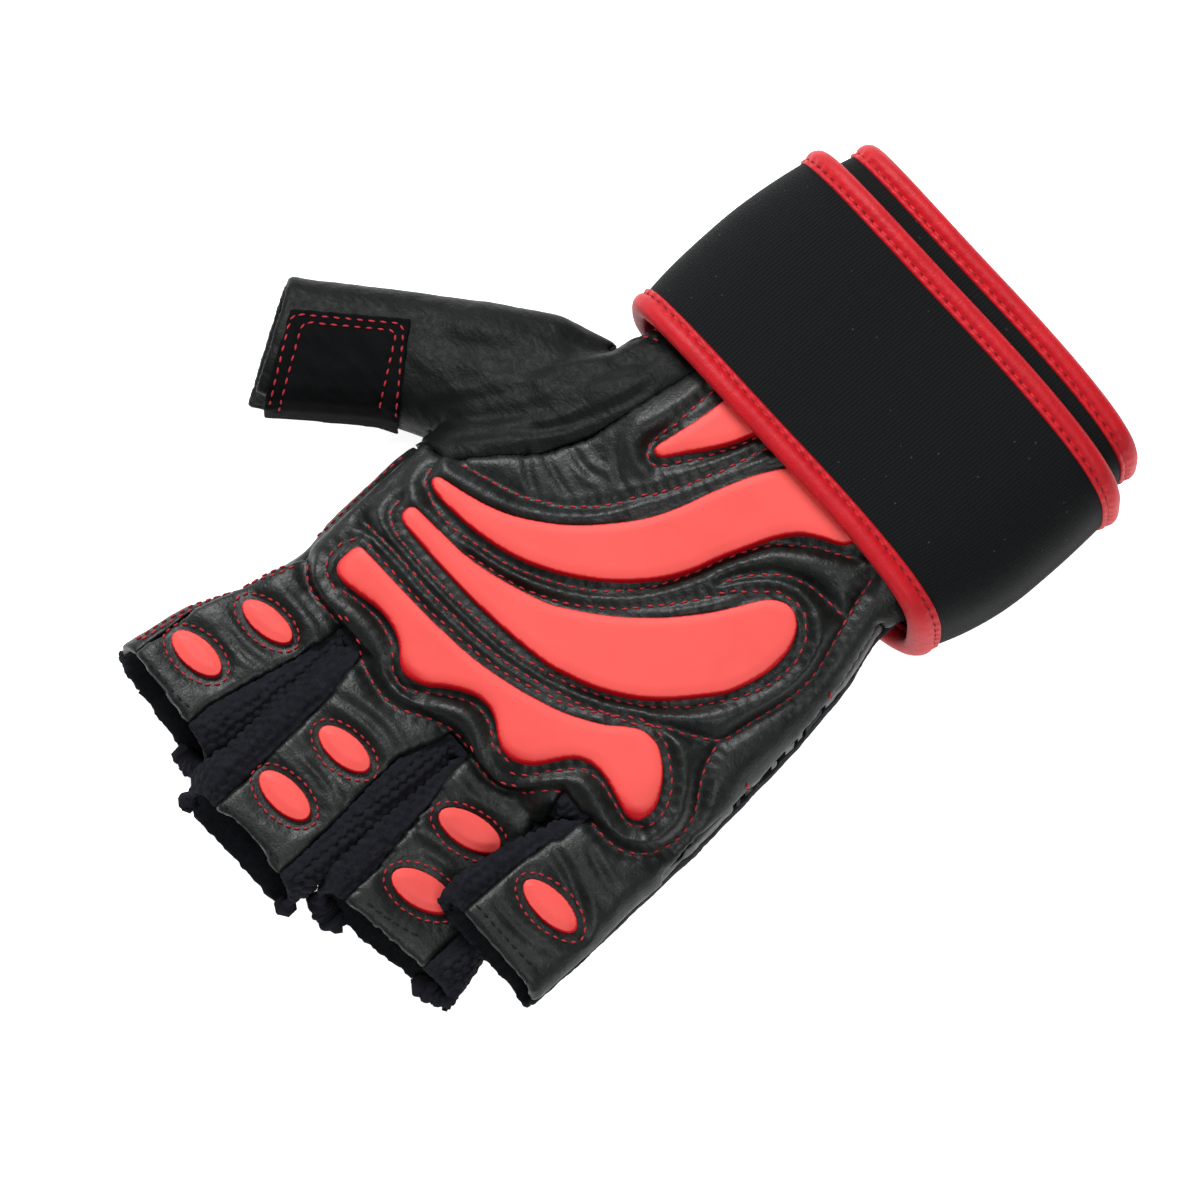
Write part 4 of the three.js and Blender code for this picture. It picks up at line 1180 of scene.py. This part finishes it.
def add_stitch(bm, place, along, out, length, radius):
    """One stitch: a short plump strand that dips into the leather at both ends."""
    side = out.cross(along).normalized()
    up = along.cross(side).normalized()
    turn = Matrix((along, side, up)).transposed().to_4x4()
    scale = Matrix.Diagonal((length / 2, radius, radius * 0.9, 1))
    matrix = Matrix.Translation(place) @ turn @ scale
    bmesh.ops.create_uvsphere(bm, u_segments=6, v_segments=4, radius=1, matrix=matrix)


def gather(bm, row):
    """Adds one bmesh to another and frees it."""
    mesh = bpy.data.meshes.new("row")
    row.to_mesh(mesh)
    row.free()
    bm.from_mesh(mesh)
    bpy.data.meshes.remove(mesh)


def sew(bm, ground, line, pitch, length, radius, seed, lift=0.45, closed=False):
    """Stitches along a line of points, each dropped on the ground and lifted by a share of its radius."""
    if len(line) < 3:
        return
    row = bmesh.new()
    dice = random.Random(seed)
    path = even_path(line + [line[0]] if closed else line, pitch, closed)
    if not closed:
        path = [a.lerp(b, 0.5) for a, b in zip(path, path[1:])]
    for i, place in enumerate(path):
        ahead = path[(i + 1) % len(path)] if closed or i + 1 < len(path) else place + (place - path[i - 1])
        before = path[i - 1] if closed or i else place - (ahead - place)
        way = (ahead - before).normalized()
        hit, normal, _, _ = ground.find_nearest(place, STITCH_REACH)
        if hit is None:
            continue
        above, upright, _, _ = ground.ray_cast(hit + Vector((0, 0, 0.01)), Vector((0, 0, -1)), 0.02)
        if above is not None and upright.z > 0.25:
            hit, normal = above, upright
        way = (way - normal * way.dot(normal)).normalized()
        side = normal.cross(way)
        way = (way + side * dice.uniform(-STITCH_SWING, STITCH_SWING)).normalized()
        add_stitch(row, hit + normal * (radius * lift), way, normal, length * dice.uniform(*STITCH_VARIES),
                   radius)
    gather(bm, row)


def sew_piece(name, thread, slot, jobs, pitch, long=1.0, thick=1.0, **how):
    """Sews lines, each with its ground and its first seed, into one piece of stitches."""
    sizes = bpy.context.scene.glove_sizes
    length, radius = sizes.stitch_length * long, sizes.thread_radius * thick
    bm = bmesh.new()
    for ground, lines, seed in jobs:
        for i, line in enumerate(lines):
            sew(bm, ground, line, pitch * MM, length, radius, seed + i, **how)
    new_piece(name, bm, material(thread))


class GLOVE_OT_stitches(bpy.types.Operator):
    """Sews the red and black stitches of the hand"""
    bl_idname = "glove.stitches"
    bl_label = "Stitches"

    def execute(self, context):
        pitch = context.scene.glove_sizes.stitch_pitch / MM
        palm, top, thumb, patch = (GROUNDS[name] for name in ("palm", "palm_top", "thumb_top", "patch_top"))
        sides = tree_from(joined(["index_strip_leather", "side_leather_wrist", "side_leather_middle",
                                  "side_leather_finger", "palm_leather"]))
        roots = [plan_line(thumb, row, THUMB_PLANE) for row in ROOT_ROWS]
        edges = [plan_line(sides, row, plane) for plane, row in SIDE_ROWS]
        hems = [plan_line(top, row, FINGER_PLANE) for row in HEM_ROWS]
        sew_piece("stitches_palm", "red_thread", "leather", [(top, palm_lines(palm), 0)], pitch)
        sew_piece("stitches_ovals", "red_thread", "leather", [(top, oval_lines(palm), 40)], OVAL_PITCH,
                  long=0.86, lift=0.8, closed=True)
        sew_piece("stitches_thumb", "red_thread", "suede",
                  [(patch, patch_lines(patch), 60), (thumb, roots, 70)], pitch)
        sew_piece("stitches_sides", "red_thread", "leather", [(sides, edges, 80)], SIDE_PITCH, long=0.9)
        sew_piece("stitches_hems", "black_thread", "leather", [(top, hems, 90)], HEM_PITCH, thick=1.1)
        return {"FINISHED"}


# The stage, in metres and degrees

# Soft lamps: place, width and height, and power in watts
LAMPS = {
    "key": ((-0.8, 0.25, 0.95), (0.5, 0.4), 15),
    "fill": ((0.6, -0.3, 0.9), (0.4, 0.4), 3.5),
    "top": ((-0.1, 0.1, 1.3), (0.3, 0.3), 2),
}
FLOOR_HALF = 3.0
FLOOR_GLOW = 0.9
WORLD_STRENGTH = 0.2
WHITE = (1, 1, 1, 1)
CAMERA = {"azimuth": 48, "elevation": 72, "distance": 6.0, "sensor": 36}
FRAME_PIXELS = 1200
PIXELS_PER_METRE = 4600


class GLOVE_OT_stage(bpy.types.Operator):
    """Sets the pale floor, the soft studio light and the camera"""
    bl_idname = "glove.stage"
    bl_label = "Stage"

    def execute(self, context):
        scene = context.scene
        bm = bmesh.new()
        bmesh.ops.create_grid(bm, x_segments=4, y_segments=4, size=FLOOR_HALF)
        floor = scratch("floor", bm)
        floor.data.materials.append(Graph("pale_floor").finish(
            Base_Color=colour(scene.glove_colours.floor), Roughness=0.9, Specular_IOR_Level=0.0,
            Emission_Color=WHITE, Emission_Strength=FLOOR_GLOW))

        scene.world = bpy.data.worlds.new("studio")
        scene.world.use_nodes = True
        sky = scene.world.node_tree.nodes["Background"]
        sky.inputs["Color"].default_value = WHITE
        sky.inputs["Strength"].default_value = WORLD_STRENGTH
        for name, (place, size, power) in LAMPS.items():
            light = bpy.data.lights.new(name, "AREA")
            light.shape = "RECTANGLE"
            light.size, light.size_y = size
            light.energy = power
            lamp = bpy.data.objects.new(name, light)
            aim(lamp, Vector(place), Vector(place))
            lamp.visible_camera = False

        azimuth, elevation = math.radians(CAMERA["azimuth"]), math.radians(CAMERA["elevation"])
        target = Vector((PLAN_ORIGIN.x, PLAN_ORIGIN.y, 0)) * MM
        back = Vector((math.sin(azimuth) * math.cos(elevation), -math.cos(azimuth) * math.cos(elevation),
                       math.sin(elevation)))
        camera = bpy.data.objects.new("camera", bpy.data.cameras.new("camera"))
        camera.data.sensor_width = CAMERA["sensor"]
        camera.data.lens = CAMERA["sensor"] * CAMERA["distance"] / (FRAME_PIXELS / PIXELS_PER_METRE)
        camera.data.clip_start, camera.data.clip_end = 0.5, 20
        aim(camera, target + back * CAMERA["distance"], back)
        scene.camera = camera
        scene.view_settings.view_transform = "Standard"
        return {"FINISHED"}


def aim(thing, place, back):
    """Puts a lamp or camera in place, looking against the direction called back."""
    thing.location = place
    thing.rotation_mode = "QUATERNION"
    thing.rotation_quaternion = (-back).to_track_quat("-Z", "Y")
    bpy.context.scene.collection.objects.link(thing)


# Properties and panel

def length_property(name, description, default, low=0.0, high=0.1):
    return FloatProperty(name=name, description=description, default=default, min=low, max=high,
                         unit="LENGTH", precision=5)


def colour_property(name, description, default):
    return FloatVectorProperty(name=name, description=description, default=default, size=3, min=0, max=1,
                               subtype="COLOR")


class GloveSizes(bpy.types.PropertyGroup):
    leather_grid: length_property("Leather grid", "Spacing of the points on the leather",
                                  0.0007, 0.0004, 0.002)
    quilt_height: length_property("Quilt height", "How far the leather rises between its seams", 0.0016)
    quilt_width: FloatProperty(
        name="Quilt width", description="How soon the leather rises beside a seam, in mm",
        default=1.9, min=0.5, max=6)
    insert_height: length_property("Insert height", "Height of the rubber inserts above the leather",
                                   0.0034)
    oval_height: length_property("Oval height", "Height of the oval pads above the leather", 0.0013)
    knit_loop: length_property("Knit loop", "Size of one loop of the knit", 0.0024, 0.0005)
    knit_height: length_property("Knit height", "How far the knit's loops stand out", 0.0011)
    stitch_pitch: length_property("Stitch pitch", "Distance from one stitch to the next", 0.0026, 0.001)
    stitch_length: length_property("Stitch length", "Length of one stitch", 0.0017, 0.0005)
    thread_radius: length_property("Thread radius", "Half the thickness of the thread", 0.00027, 0.0001)
    binding_pitch: length_property("Binding pitch", "Distance between the stitches of the bindings",
                                   0.0027, 0.001)


class GloveColours(bpy.types.PropertyGroup):
    leather: colour_property("Leather", "Black leather in its folds", (0.0028, 0.0040, 0.0034))
    leather_worn: colour_property("Worn leather", "Black leather where it is rubbed",
                                  (0.0100, 0.0145, 0.0122))
    # The faces' red carries the light from above and the walls' darker red is the same rubber in shade:
    # painted light and painted shade
    rubber: colour_property("Rubber", "Faces of the inserts", (0.88, 0.1, 0.088))
    rubber_wall_painted_shade: colour_property("Rubber walls", "Side walls of the inserts", (0.58, 0.004, 0.010))
    binding: colour_property("Binding", "Red leather bindings", (0.48, 0.006, 0.013))
    neoprene: colour_property("Neoprene", "Cloth of the wrist wrap", (0.0052, 0.006, 0.0066))
    knit: colour_property("Knit", "Walls between the fingers", (0.0085, 0.0088, 0.012))
    stretch: colour_property("Stretch cloth", "Back of the hand", (0.008, 0.009, 0.011))
    suede: colour_property("Suede", "Patch on the thumb", (0.003, 0.0032, 0.0036))
    thread: colour_property("Thread", "Red stitches", (0.46, 0.026, 0.038))
    dark_thread: colour_property("Binding thread", "Stitches of the bindings", (0.16, 0.005, 0.01))
    hem_thread: colour_property("Hem thread", "Black stitches along the hems", (0.005, 0.005, 0.006))
    floor: colour_property("Floor", "Studio floor", (0.9, 0.9, 0.9))


class GLOVE_PT_panel(bpy.types.Panel):
    bl_idname = "GLOVE_PT_panel"
    bl_label = "Weightlifting glove"
    bl_space_type = "VIEW_3D"
    bl_region_type = "UI"
    bl_category = "Glove"

    def draw(self, context):
        for group in (context.scene.glove_sizes, context.scene.glove_colours):
            box = self.layout.box()
            for key in group.__annotations__:
                box.prop(group, key)
        for operator in OPERATORS:
            self.layout.operator(operator.bl_idname)


OPERATORS = (
    GLOVE_OT_palm, GLOVE_OT_thumb, GLOVE_OT_sides, GLOVE_OT_gussets, GLOVE_OT_inserts, GLOVE_OT_ovals,
    GLOVE_OT_wrap, GLOVE_OT_bindings, GLOVE_OT_stitches, GLOVE_OT_stage,
)
CLASSES = (GloveSizes, GloveColours, *OPERATORS, GLOVE_PT_panel)


def register():
    for entry in CLASSES:
        bpy.utils.register_class(entry)
    bpy.types.Scene.glove_sizes = PointerProperty(type=GloveSizes)
    bpy.types.Scene.glove_colours = PointerProperty(type=GloveColours)


def unregister():
    del bpy.types.Scene.glove_sizes
    del bpy.types.Scene.glove_colours
    for entry in reversed(CLASSES):
        bpy.utils.unregister_class(entry)


def main():
    register()
    for operator in OPERATORS:
        group, name = operator.bl_idname.split(".")
        getattr(getattr(bpy.ops, group), name)()


if __name__ == "__main__":
    main()
